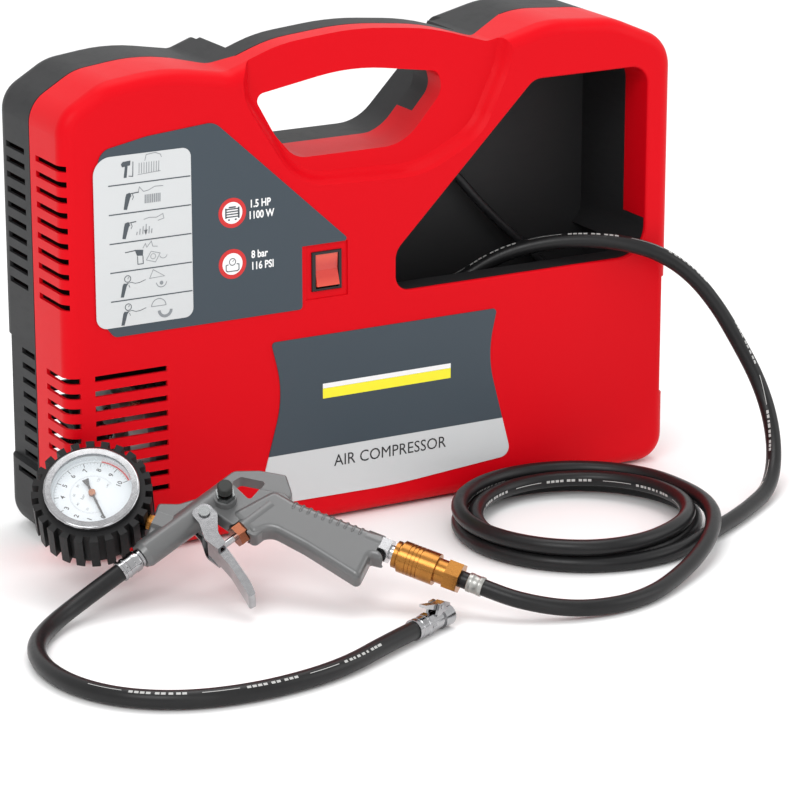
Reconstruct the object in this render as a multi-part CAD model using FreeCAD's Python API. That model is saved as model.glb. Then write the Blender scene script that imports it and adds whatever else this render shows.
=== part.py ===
import FreeCAD, Part
import math
import os
from FreeCAD import Vector

# Portable suitcase air compressor with its captive air hose, a tyre inflator gun and a mains lead.
# Frame: origin on the floor under the middle of the case, +X to the right along the front face,
# +Y from the front face to the rear, +Z up.  Millimetres.

# ---------------------------------------------------------------- driving dimensions
CASE_WIDTH = 530.0
CASE_DEPTH = 124.0
CASE_BASE = 1.5            # underside of the shells above the floor
SHOULDER_TOP = 375.5       # top of the two shoulders
HANDLE_TOP = 386.0         # crown of the carrying handle
WALL = 2.8                 # moulded wall of both shells
SEAM = 58.0                # depth of the joint between the shells, from the front face
HANDLE_SEAM = 30.0         # the same along the handle
FRONT_ROUND = 11.0
REAR_ROUND = 20.0
HANDLE_SETBACK = 10.0      # the handle field lies this far behind the front face
HANDLE_BACK = 54.0         # rear side of the handle, from the front face
SILL_BACK = 98.0           # rear side of the case under the handle, from the front face
END_RECESS = 6.0           # depth of the vent fields in the two ends
CLEAR = 0.3                # gap between separate pieces that do not touch
RUN = 0.05                 # radial running clearance of shafts and pins
PLATE = 0.8                # label plates

COMPARTMENT_DEPTH = 98.0
LINER = 2.2

MOTOR_Z = 74.0             # height of the motor and crank axis
SHAFT_R = 6.0
STATOR_R = 44.0
ROTOR_R = 27.0
POLE_AT = 33.0             # height of the field coils above and below the motor axis
CRANK_THROW = 12.0
ROD_LENGTH = 62.0
BORE_R = 21.0
PISTON_PLANE = -75.0       # X of the cylinder axis
HEAD_HALF = 31.0
HEAD_BASE = 165.5          # top of the cylinder

AIR_HOSE_D = 12.5
SHORT_HOSE_D = 13.5
LEAD_D = 7.5
COIL_OUT_R = 101.0
COIL_IN_R = 72.0
COIL_HEIGHT = 24.0
LEAD_COIL_OUT_R = 50.0
LEAD_COIL_IN_R = 34.0
LEAD_COIL_THICK = 23.0

GAUGE_R = 33.0
BOOT_R = 44.0
BARREL_R = 10.5

FRONT = -CASE_DEPTH / 2.0
REAR = CASE_DEPTH / 2.0
HALF = CASE_WIDTH / 2.0
SEAM_Y = FRONT + SEAM
HANDLE_SEAM_Y = FRONT + HANDLE_SEAM

os.makedirs("parts", exist_ok=True)


# ---------------------------------------------------------------- helpers
def save(name, shape, merge=True):
    """Write one node."""
    if merge:
        shape = shape.removeSplitter()
    shape.exportStep("parts/" + name + ".step")
    return shape


def box(x0, x1, y0, y1, z0, z1):
    return Part.makeBox(x1 - x0, y1 - y0, z1 - z0, Vector(x0, y0, z0))


def rod(start, end, radius):
    """Cylinder from start to end."""
    axis = end - start
    return Part.makeCylinder(radius, axis.Length, start, axis)


def cone(start, end, radius_a, radius_b):
    axis = end - start
    return Part.makeCone(radius_a, radius_b, axis.Length, start, axis)


def tube(start, end, outer, inner):
    return rod(start, end, outer).cut(rod(start, end, inner))


def fuse(shapes):
    first = shapes[0]
    return first.multiFuse(shapes[1:]) if len(shapes) > 1 else first


def hexagon(start, end, across):
    """Hexagonal bar from start to end."""
    axis = Vector(end - start).normalize()
    side = axis.cross(Vector(0, 0, 1))
    if side.Length < 0.1:
        side = Vector(1, 0, 0)
    side.normalize()
    up = axis.cross(side)
    radius = across / math.sqrt(3.0)
    points = [start + side * (radius * math.cos(math.radians(60 * k))) + up * (radius * math.sin(math.radians(60 * k)))
              for k in range(6)]
    return Part.Face(Part.makePolygon(points + [points[0]])).extrude(end - start)


def rounded_edges(corners, place):
    """Straight edges and tangent arcs through (a, b, radius) corners; place makes a Vector."""
    count = len(corners)
    starts, ends, middles = [], [], []
    for index in range(count):
        a, b, radius = corners[index]
        here = Vector(a, b, 0)
        before = Vector(corners[index - 1][0], corners[index - 1][1], 0)
        after = Vector(corners[(index + 1) % count][0], corners[(index + 1) % count][1], 0)
        u = (before - here).normalize()
        v = (after - here).normalize()
        half = math.acos(max(-1.0, min(1.0, u.dot(v)))) / 2.0
        if radius <= 0 or half > math.pi / 2 - 1e-4:
            starts.append(here)
            ends.append(here)
            middles.append(None)
            continue
        reach = radius / math.tan(half)
        towards = (u + v).normalize()
        starts.append(here + u * reach)
        ends.append(here + v * reach)
        middles.append(here + towards * (radius / math.sin(half) - radius))
    edges = []
    for index in range(count):
        start, end, middle = starts[index], ends[index], middles[index]
        if middle is not None:
            arc = Part.Arc(place(start.x, start.y), place(middle.x, middle.y), place(end.x, end.y))
            edges.append(arc.toShape())
        following = starts[(index + 1) % count]
        if (following - end).Length > 1e-6:
            edges.append(Part.makeLine(place(end.x, end.y), place(following.x, following.y)))
    return edges


def front_wire(corners, y):
    """Closed outline in a plane parallel to the front face."""
    return Part.Wire(rounded_edges(corners, lambda a, b: Vector(a, y, b)))


def grow_corners(corners, distance):
    """Move every side of a closed outline outwards; rounded corners keep their centres."""
    count = len(corners)
    turned = [corners[i - 1][0] * corners[i][1] - corners[i][0] * corners[i - 1][1] for i in range(count)]
    side = 1.0 if sum(turned) > 0 else -1.0
    grown = []
    for index in range(count):
        before, here, after = corners[index - 1], corners[index], corners[(index + 1) % count]
        a = Vector(here[0] - before[0], here[1] - before[1], 0).normalize()
        b = Vector(after[0] - here[0], after[1] - here[1], 0).normalize()
        out_a = Vector(a.y, -a.x, 0) * side
        out_b = Vector(b.y, -b.x, 0) * side
        shift = (out_a + out_b) * (distance / (1.0 + out_a.dot(out_b)))
        bulges = (a.x * b.y - a.y * b.x) * side > 0
        radius = here[2]
        if radius > 0:
            radius = max(0.5, radius + (distance if bulges else -distance))
        grown.append((here[0] + shift.x, here[1] + shift.y, radius))
    return grown


def front_prism(corners, y0, y1, grow=0.0):
    """Outline seen from the front, run from y0 to y1, grown outwards by grow."""
    return Part.Face(front_wire(grow_corners(corners, grow), y0)).extrude(Vector(0, y1 - y0, 0))


def face_edges(shape, y, test):
    """Edges that lie in the plane Y = y and pass the test on their centre."""
    picked = []
    for edge in shape.Edges:
        bounds = edge.BoundBox
        if abs(bounds.YMin - y) < 1e-3 and abs(bounds.YMax - y) < 1e-3 and test(edge.CenterOfMass):
            picked.append(edge)
    return picked


# ---------------------------------------------------------------- cord routes
def soft_path(points):
    """Straight runs joined by tangent arcs, each cut to 0.45 of its shorter run; gives wire and radii."""
    edges = []
    radii = []
    at = points[0]
    for index in range(1, len(points) - 1):
        back = points[index - 1] - points[index]
        ahead = points[index + 1] - points[index]
        reach = 0.45 * min(back.Length, ahead.Length)
        back.normalize()
        ahead.normalize()
        half = back.getAngle(ahead) / 2.0
        radius = reach * math.tan(half)
        middle = points[index] + (back + ahead).normalize() * (radius / math.sin(half) - radius)
        start = points[index] + back * reach
        end = points[index] + ahead * reach
        edges.append(Part.LineSegment(at, start).toShape())
        edges.append(Part.Arc(start, middle, end).toShape())
        radii.append(radius)
        at = end
    edges.append(Part.LineSegment(at, points[-1]).toShape())
    return Part.Wire(edges), radii


def round_along(path, start, way, radius):
    """Solid of round section along a path that leaves start in the given way."""
    section = Part.Wire(Part.makeCircle(radius, start, way))
    return path.makePipeShell([section], True, False)


def cord_tube(name, points, diameter):
    """Cord along its route points; prints its length, its radii and its volume against its length."""
    path, radii = soft_path(points)
    solid = round_along(path, points[0], points[1] - points[0], diameter / 2.0)
    ideal = math.pi * (diameter / 2.0) ** 2 * path.Length
    print(name, "length %.0f" % path.Length, "radii", [round(r) for r in radii],
          "floor %.0f" % (5 * diameter), "volume ratio %.4f" % (solid.Volume / ideal),
          "lowest %.2f" % solid.optimalBoundingBox().ZMin)
    save(name, solid)


# ---------------------------------------------------------------- case outline
BASE_ROUND = 22.0
SHOULDER_SLOPE = 26.0      # how far the outer corners of the shoulders drop
NOTCH_Z = SHOULDER_TOP - 11.0

OUTLINE = [
    (-HALF, CASE_BASE, BASE_ROUND),
    (HALF, CASE_BASE, BASE_ROUND),
    (HALF, SHOULDER_TOP - SHOULDER_SLOPE, 30.0),
    (212.0, SHOULDER_TOP - 3.0, 60.0),
    (152.0, SHOULDER_TOP + 1.5, 90.0),
    (100.0, NOTCH_Z, 16.0),
    (50.0, HANDLE_TOP - 6.0, 200.0),
    (-15.0, HANDLE_TOP + 0.8, 250.0),
    (-80.0, HANDLE_TOP - 5.0, 120.0),
    (-126.0, NOTCH_Z, 14.0),
    (-178.0, SHOULDER_TOP - 2.0, 150.0),
    (-228.0, SHOULDER_TOP - 8.0, 40.0),
    (-HALF, SHOULDER_TOP - SHOULDER_SLOPE - 4.0, 26.0),
]

# the field around the handle that lies behind the front face, open at the top
HANDLE_FIELD = [
    (-107.0, HANDLE_TOP + 50.0, 0.0),
    (-107.0, 345.0, 30.0),
    (-66.0, 280.0, 40.0),
    (36.0, 276.0, 70.0),
    (84.0, 300.0, 40.0),
    (108.0, 352.0, 60.0),
    (111.0, HANDLE_TOP + 50.0, 0.0),
]
FIELD_BLEND = 9.0
HANDLE_JOINT = (-150.0, 138.0)      # between these two the joint of the shells steps forward,
HANDLE_JOINT_Z = 312.0              # above this height
GROOVE_WIDTH = 1.2
GROOVE_DEPTH = 0.9

# the finger opening under the handle
HANDLE_OPENING = [
    (-103.0, 343.5, 6.0),
    (-85.0, 311.0, 40.0),
    (-68.0, 291.5, 22.0),
    (26.0, 291.5, 40.0),
    (60.0, 330.0, 16.0),
    (56.0, 346.0, 8.0),
    (-20.0, 357.5, 180.0),
]

# everything behind the handle: the opening carried up through the top
BEHIND_HANDLE = [
    (-104.0, HANDLE_TOP + 50.0, 0.0),
    (-104.0, 343.5, 20.0),
    (-85.0, 311.0, 40.0),
    (-68.0, 291.5, 22.0),
    (32.0, 291.5, 40.0),
    (72.0, 333.0, 40.0),
    (98.0, 366.0, 30.0),
    (100.0, HANDLE_TOP + 50.0, 0.0),
]

# front opening of the hose compartment
BAY_ROUND = 2.0            # rounding of its front rim
BAY_LEFT = 14.0
BAY_RIGHT = 241.5
BAY_FLOOR = 178.0
BAY_TOP = 332.5
BAY = [
    (BAY_LEFT, BAY_FLOOR, 12.0),
    (BAY_RIGHT, BAY_FLOOR, 24.0),
    (BAY_RIGHT, BAY_TOP, 15.0),
    (137.0, BAY_TOP, 16.0),
    (BAY_LEFT, 210.0, 16.0),
]
POCKET = (20.0, 244.0, 44.0)        # left, right and floor of the lower storage pocket
POCKET_FRONT = 24.0                 # its front wall, from the front face

# vent fields
VENT_PITCH = 11.7
VENT_HEIGHT = 4.6
SIDE_VENT_TOP = 307.2
LOW_VENT_TOP = 145.0
VENT_COUNT = 10
LOW_VENT_COUNT = 9
LADDER_LEFT = (-242.5, -183.0)      # the low ladder on the front face
REAR_LADDER = (-235.0, -160.0)
UPPER_REAR_LADDER = (-150.0, -60.0)
END_FIELD = (58.0, 157.0)           # floor and top of the shallow fields in the two ends


def handle_field_tool(grow):
    """Cutter of the handle field with soft S-shaped walls, grown by the wall for the inner side."""
    stations = [(-0.1, 1.04), (0.0, 1.0), (0.2, 0.75), (0.5, 0.5), (0.8, 0.25), (1.0, 0.0)]
    wires = []
    for share, spread in stations:
        y = FRONT + grow + share * HANDLE_SETBACK
        if share < 0:
            y -= grow
        wires.append(front_wire(grow_corners(HANDLE_FIELD, FIELD_BLEND * spread + grow), y))
    return Part.makeLoft(wires, True, False)


def vent_rows(top, count, x0, x1, y0, y1, height=VENT_HEIGHT):
    """A ladder of level slots, as one cutter."""
    slots = []
    for index in range(count):
        z = top - index * VENT_PITCH
        slots.append(box(x0, x1, y0, y1, z - height / 2, z + height / 2))
    return Part.makeCompound(slots)


def case_blank(inset):
    """The full case as one solid, its walls moved in by inset."""
    blank = front_prism(OUTLINE, FRONT + inset, REAR - inset, -inset)
    blank = blank.makeFillet(FRONT_ROUND - inset, face_edges(blank, FRONT + inset, lambda c: True))
    blank = blank.makeFillet(REAR_ROUND - inset, face_edges(blank, REAR - inset, lambda c: True))
    blank = blank.cut(handle_field_tool(inset))
    blank = blank.cut(front_prism(HANDLE_OPENING, FRONT - 1, REAR + 1, inset))
    blank = blank.cut(front_prism(BEHIND_HANDLE, FRONT + HANDLE_BACK - inset, REAR + 1, inset))
    blank = blank.cut(front_prism(HANDLE_FIELD, FRONT + SILL_BACK - inset, REAR + 1, inset))
    # shallow vent fields in the two ends
    low = END_FIELD[0] - inset
    high = END_FIELD[1] + inset
    left = box(-HALF - 1, -HALF + END_RECESS + inset, SEAM_Y + 2 - inset, REAR + 1, low, high)
    right = box(HALF - END_RECESS - inset, HALF + 1, FRONT - 1, REAR + 1, low, high)
    blank = blank.cut(left)
    blank = blank.cut(right)
    return blank


def seam_regions():
    """Space in front of the joint between the shells, and the space behind it."""
    far = 600.0
    left, right = HANDLE_JOINT
    plan = [
        Vector(left, SEAM_Y + 1, HANDLE_JOINT_Z), Vector(left, SEAM_Y, HANDLE_JOINT_Z),
        Vector(left + 42, HANDLE_SEAM_Y, HANDLE_JOINT_Z), Vector(right - 46, HANDLE_SEAM_Y, HANDLE_JOINT_Z),
        Vector(right, SEAM_Y, HANDLE_JOINT_Z), Vector(right, SEAM_Y + 1, HANDLE_JOINT_Z),
    ]
    notch = Part.Face(Part.makePolygon(plan + [plan[0]])).extrude(Vector(0, 0, far))
    front = box(-far, far, FRONT - 50, SEAM_Y, -50, far).cut(notch)
    rear = box(-far, far, FRONT - 50, REAR + 50, -50, far).cut(front)
    return front, rear


def seam_groove():
    """Shallow groove of shadow along the joint, on the outside only."""
    half = GROOVE_WIDTH / 2.0
    left, right = HANDLE_JOINT
    ring = front_prism(OUTLINE, FRONT, REAR, 1.0).cut(front_prism(OUTLINE, FRONT, REAR, -GROOVE_DEPTH))
    slab = box(-400, 400, SEAM_Y - half, SEAM_Y + half, -10, 420)
    slab = slab.cut(box(left, right, SEAM_Y - 2, SEAM_Y + 2, HANDLE_JOINT_Z, 420))
    handle_slab = box(left + 42, right - 46, HANDLE_SEAM_Y - half, HANDLE_SEAM_Y + half, 350, 420)
    return ring.common(fuse([slab, handle_slab]))


# ---------------------------------------------------------------- case shells
SCREW_PLACES = [
    (-246.0, 26.0), (-246.0, 318.0), (-135.0, 345.0), (-18.0, 250.0), (2.0, 24.0),
    (125.0, 24.0), (248.0, 26.0), (252.5, 300.0), (160.0, 353.0),
]
BOSS_R = 5.0
SCREW_R = 1.9
SCREW_HEAD_R = 3.6
SCREW_SEAT = REAR - 16.0            # the screw heads bear here, deep in the rear shell
SWITCH_X = -46.8
SWITCH_Z = 203.2
SWITCH_RECESS = 1.2
BEZEL_HALF_X = 12.9
BEZEL_HALF_Z = 15.6
HOUSING_HALF_X = 11.2
HOUSING_HALF_Z = 14.2
FOOT_PLACES = [(-228.0, -38.0), (-228.0, 36.0), (228.0, -38.0), (228.0, 36.0)]
FOOT_R = 10.0
FOOT_STUD_R = 3.0
LIP_DEPTH = 33.0                    # red return wall on the right and top of the compartment


def build_shells():
    outer = case_blank(0.0)
    shell = outer.cut(case_blank(WALL))
    front_region, rear_region = seam_regions()
    groove = seam_groove()

    front = shell.common(front_region)
    lip = front_prism(BAY, FRONT + WALL - 0.4, FRONT + LIP_DEPTH, WALL)
    lip = lip.common(fuse([
        box(BAY_RIGHT - 14, 400, FRONT, FRONT + 60, BAY_FLOOR + 30, 400),
        box(150.0, 400, FRONT, FRONT + 60, BAY_TOP - 14, 400),
    ]))
    bosses = []
    holes = []
    for x, z in SCREW_PLACES:
        bosses.append(rod(Vector(x, FRONT + WALL - 0.5, z), Vector(x, SEAM_Y, z), BOSS_R))
        holes.append(rod(Vector(x, SEAM_Y - 24, z), Vector(x, SEAM_Y + 1, z), SCREW_R))
    front = front.multiFuse([lip] + bosses)
    front = front.cut(front_prism(BAY, FRONT - 1, FRONT + LIP_DEPTH + 1))
    bay_line = front_wire(BAY, FRONT)
    rim = [edge for edge in front.Edges
           if max(bay_line.distToShape(Part.Vertex(edge.valueAt(at)))[0]
                  for at in (edge.FirstParameter, edge.LastParameter,
                             (edge.FirstParameter + edge.LastParameter) / 2)) < 0.01]
    front = front.makeFillet(BAY_ROUND, rim)
    switch = [
        box(SWITCH_X - 18, SWITCH_X + 18, FRONT - 1, FRONT + SWITCH_RECESS, SWITCH_Z - 21.5, SWITCH_Z + 21.5),
        box(SWITCH_X - HOUSING_HALF_X - CLEAR, SWITCH_X + HOUSING_HALF_X + CLEAR, FRONT - 1, FRONT + 6,
            SWITCH_Z - HOUSING_HALF_Z - CLEAR, SWITCH_Z + HOUSING_HALF_Z + CLEAR),
    ]
    vents = [
        vent_rows(SIDE_VENT_TOP, VENT_COUNT, -HALF - 5, -HALF + 7, FRONT + 2, FRONT + 47),
        vent_rows(LOW_VENT_TOP, LOW_VENT_COUNT, *LADDER_LEFT, FRONT - 1, FRONT + WALL + 1),
        vent_rows(LOW_VENT_TOP, LOW_VENT_COUNT, -HALF - 5, -254.0, FRONT - 1, FRONT + 38),
        vent_rows(LOW_VENT_TOP, LOW_VENT_COUNT, HALF - END_RECESS - WALL - 2, HALF, FRONT + 4, SEAM_Y - 6),
    ]
    feet = [rod(Vector(x, y, -5), Vector(x, y, 12), FOOT_STUD_R) for x, y in FOOT_PLACES if y < SEAM_Y]
    front = front.cut(Part.makeCompound(switch + holes + feet))
    for vent in vents:
        front = front.cut(vent)
    front = front.cut(groove)
    save("front_shell", front)

    rear = shell.common(rear_region)
    bosses = []
    holes = []
    for x, z in SCREW_PLACES:
        bosses.append(rod(Vector(x, SEAM_Y, z), Vector(x, REAR - WALL + 0.5, z), BOSS_R + 1.2))
        holes.append(rod(Vector(x, SEAM_Y - 1, z), Vector(x, REAR + 1, z), SCREW_R + 0.3))
        holes.append(rod(Vector(x, SCREW_SEAT, z), Vector(x, REAR + 1, z), SCREW_HEAD_R + 0.6))
    belly = box(-14, 14, SEAM_Y + 1, REAR - 24, 0, CASE_BASE + 1)
    rear = rear.multiFuse(bosses + [belly]).common(outer.fuse(belly))
    vents = [
        vent_rows(SIDE_VENT_TOP, VENT_COUNT, -HALF - 5, -HALF + 7, FRONT + 68, FRONT + 102),
        vent_rows(LOW_VENT_TOP, LOW_VENT_COUNT, -HALF, -HALF + END_RECESS + WALL + 2, SEAM_Y + 6, REAR - 26),
        vent_rows(LOW_VENT_TOP, LOW_VENT_COUNT, HALF - END_RECESS - WALL - 2, HALF, SEAM_Y + 6, REAR - 24),
        vent_rows(LOW_VENT_TOP, LOW_VENT_COUNT, *REAR_LADDER, REAR - WALL - 1, REAR + 1),
        vent_rows(SIDE_VENT_TOP - 40, 6, *UPPER_REAR_LADDER, REAR - WALL - 1, REAR + 1),
    ]
    feet = [rod(Vector(x, y, -5), Vector(x, y, 12), FOOT_STUD_R) for x, y in FOOT_PLACES if y > SEAM_Y]
    rear = rear.cut(Part.makeCompound(holes + feet))
    for vent in vents:
        rear = rear.cut(vent)
    rear = rear.cut(groove)
    save("rear_shell", rear)
    return front, rear


def build_feet_and_screws():
    feet = []
    for x, y in FOOT_PLACES:
        pad = cone(Vector(x, y, 0), Vector(x, y, CASE_BASE), FOOT_R - 0.6, FOOT_R)
        stud = rod(Vector(x, y, CASE_BASE), Vector(x, y, CASE_BASE + WALL + 3.5), FOOT_STUD_R)
        collar = rod(Vector(x, y, CASE_BASE + WALL), Vector(x, y, CASE_BASE + WALL + 2.0), FOOT_STUD_R + 1.0)
        feet.append(pad.multiFuse([stud, collar]))
    save("rubber_feet", Part.makeCompound(feet))
    screws = []
    for x, z in SCREW_PLACES:
        head = rod(Vector(x, SCREW_SEAT, z), Vector(x, SCREW_SEAT + 2.6, z), SCREW_HEAD_R)
        shank = rod(Vector(x, SEAM_Y - 18, z), Vector(x, SCREW_SEAT, z), SCREW_R)
        slots = [
            box(x - 2.2, x + 2.2, SCREW_SEAT + 1.2, SCREW_SEAT + 3, z - 0.5, z + 0.5),
            box(x - 0.5, x + 0.5, SCREW_SEAT + 1.2, SCREW_SEAT + 3, z - 2.2, z + 2.2),
        ]
        screws.append(head.fuse(shank).cut(Part.makeCompound(slots)))
    save("case_screws", Part.makeCompound(screws))


# ---------------------------------------------------------------- storage compartment
OUTLET = Vector(POCKET[0], 0.0, 152.0)      # hose outlet in the pocket's left wall
SLOPE_LOW = Vector(BAY[4][0], 26.0, BAY[4][1])
SLOPE_HIGH = Vector(BAY[3][0], 26.0, BAY[3][1])
GLAND = SLOPE_LOW + (SLOPE_HIGH - SLOPE_LOW) * 0.543     # mains lead gland in the sloping left wall
SLOPE = (SLOPE_HIGH - SLOPE_LOW).cross(Vector(0, 1, 0)).normalize()  # outward normal of that wall
GLAND_R = 6.0
GLAND_TAIL = 26.0                   # the tapered sleeve reaches this far into the compartment


def build_compartment():
    bay_front = FRONT + WALL + CLEAR
    back = FRONT + COMPARTMENT_DEPTH
    left, right, floor = POCKET
    pocket_y = FRONT + POCKET_FRONT
    outer = front_prism(BAY, bay_front, back + LINER, LINER)
    outer = outer.fuse(box(left - LINER, right + LINER, pocket_y - LINER, back + LINER,
                           floor - LINER, BAY_FLOOR + 4))
    inner = front_prism(BAY, bay_front - 1, back)
    inner = inner.fuse(box(left, right, pocket_y, back, floor, BAY_FLOOR + 6))
    liner = outer.cut(inner)
    lip_space = front_prism(BAY, bay_front - 1, FRONT + LIP_DEPTH + CLEAR, LINER + 2).common(fuse([
        box(BAY_RIGHT - 14.3, 400, FRONT, FRONT + 60, BAY_FLOOR + 29.7, 400),
        box(149.7, 400, FRONT, FRONT + 60, BAY_TOP - 14.3, 400),
    ]))
    liner = liner.cut(lip_space)
    liner = liner.cut(rod(OUTLET - Vector(10, 0, 0), OUTLET + Vector(10, 0, 0), 8.0 + CLEAR))
    liner = liner.cut(rod(GLAND - SLOPE * 12, GLAND + SLOPE * 12, GLAND_R + CLEAR))
    save("hose_compartment", liner)
    return liner


# ---------------------------------------------------------------- plates and switch
CONTROL_PANEL = [
    (-236.0, 188.0, 6.0), (-226.0, 175.5, 6.0), (-68.5, 175.5, 3.0), (-68.5, 225.0, 0.6),
    (-27.0, 225.0, 2.0), (-141.0, 330.0, 14.0), (-196.0, 325.5, 60.0), (-236.0, 318.0, 12.0),
]
STICKER = [(-240.5, 183.0, 9.0), (-161.0, 183.0, 7.0), (-161.0, 313.5, 7.0), (-240.5, 313.5, 14.0)]
NAME_LABEL = [
    (-104.0, 42.0, 10.0), (-85.0, 22.0, 14.0), (10.0, 21.0, 500.0), (118.0, 29.0, 8.0),
    (95.5, 115.0, 90.0), (104.0, 152.5, 3.0), (-95.5, 152.5, 3.0), (-85.0, 110.0, 90.0),
]


def build_plates():
    save("control_panel", front_prism(CONTROL_PANEL, FRONT - PLATE, FRONT))
    save("use_chart_sticker", front_prism(STICKER, FRONT - PLATE - 0.4, FRONT - PLATE)
         .fuse(front_prism([(-240.5, 183.0, 9.0), (-236.5, 183.0, 0.5), (-236.5, 313.5, 0.5),
                            (-240.5, 313.5, 3.0)], FRONT - PLATE, FRONT)
               .common(front_prism(STICKER, FRONT - PLATE, FRONT))))
    save("name_label", front_prism(NAME_LABEL, FRONT - PLATE, FRONT))


ROCKER_PIVOT_Y = FRONT + SWITCH_RECESS + 5.0
ROCKER_REST = 7.0
ROCKER_HALF_X = 9.6


def build_switch():
    face = FRONT + SWITCH_RECESS
    frame = box(SWITCH_X - BEZEL_HALF_X, SWITCH_X + BEZEL_HALF_X, face - 1.8, face,
                SWITCH_Z - BEZEL_HALF_Z, SWITCH_Z + BEZEL_HALF_Z)
    frame = frame.makeFillet(1.2, face_edges(frame, face - 1.8, lambda c: True))
    housing = box(SWITCH_X - HOUSING_HALF_X, SWITCH_X + HOUSING_HALF_X, face - 0.5, face + 22,
                  SWITCH_Z - HOUSING_HALF_Z, SWITCH_Z + HOUSING_HALF_Z)
    terminals = []
    for dz in (-9.0, 0.0, 9.0):
        for dx in (-5.5, 5.5):
            terminals.append(box(SWITCH_X + dx - 0.4, SWITCH_X + dx + 0.4, face + 22, face + 30,
                                 SWITCH_Z + dz - 3.1, SWITCH_Z + dz + 3.1))
    body = frame.multiFuse([housing] + terminals)
    body = body.cut(box(SWITCH_X - ROCKER_HALF_X - 0.4, SWITCH_X + ROCKER_HALF_X + 0.4, face - 5, face + 16,
                        SWITCH_Z - 13.5, SWITCH_Z + 13.5))
    axle = rod(Vector(SWITCH_X - 10.8, ROCKER_PIVOT_Y, SWITCH_Z),
               Vector(SWITCH_X + 10.8, ROCKER_PIVOT_Y, SWITCH_Z), 1.6)
    hole = rod(Vector(SWITCH_X - 10.9, ROCKER_PIVOT_Y, SWITCH_Z),
               Vector(SWITCH_X + 10.9, ROCKER_PIVOT_Y, SWITCH_Z), 1.6 + RUN)
    save("switch_bezel", body.cut(hole))
    side = [(-7.4, 12.4), (-5.2, 0.0), (-7.4, -12.4), (-2.0, -11.8), (4.0, -4.0), (4.0, 4.0), (-2.0, 11.8)]
    points = [Vector(SWITCH_X - ROCKER_HALF_X, ROCKER_PIVOT_Y + y, SWITCH_Z + z) for y, z in side]
    rocker = Part.Face(Part.makePolygon(points + [points[0]])).extrude(Vector(2 * ROCKER_HALF_X, 0, 0))
    rocker = rocker.fuse(axle)
    rocker.rotate(Vector(SWITCH_X, ROCKER_PIVOT_Y, SWITCH_Z), Vector(1, 0, 0), -ROCKER_REST)
    save("switch_rocker", rocker)


# ---------------------------------------------------------------- motor and pump
FAN_END = -236.0
STATOR = (-190.0, -142.0)           # X of the laminated stator
BRACKET = (-206.0, -199.0)          # X of the rear bearing bracket
CASTING = (-112.0, -44.0)           # X of the crankcase
BEARING_R = 13.0
BEARING_W = 8.0
CRANKCASE_R = 40.0
PLATE_Z = 18.0                      # top of the rubber mounts
DISC = (-98.0, -88.0)
BIG_END = (-80.0, -70.0)
PIN_GAP = 0.5                       # the crank pin stops this far short of the rod
BIG_END_R = 11.0
WRIST_R = 4.0
WRIST_Z = MOTOR_Z + CRANK_THROW + ROD_LENGTH
PISTON_R = BORE_R - 0.08
BOLT_AT = 24.5
LINE_R = 4.0                        # delivery tube
LINE_BORE_R = 2.6
MOUNT_PLACES = [(-186.0, -26.0), (-186.0, 26.0), (-78.0, -26.0), (-78.0, 26.0)]


def on_axis(x, y=0.0, z=0.0):
    """Point given by its offsets from the motor axis."""
    return Vector(x, y, MOTOR_Z + z)


def ring_x(x0, x1, outer, inner):
    return tube(on_axis(x0), on_axis(x1), outer, inner)


def copies_about_axis(shape, count):
    made = []
    for index in range(count):
        turned = shape.copy()
        turned.rotate(on_axis(0), Vector(1, 0, 0), 360.0 * index / count)
        made.append(turned)
    return made


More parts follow.
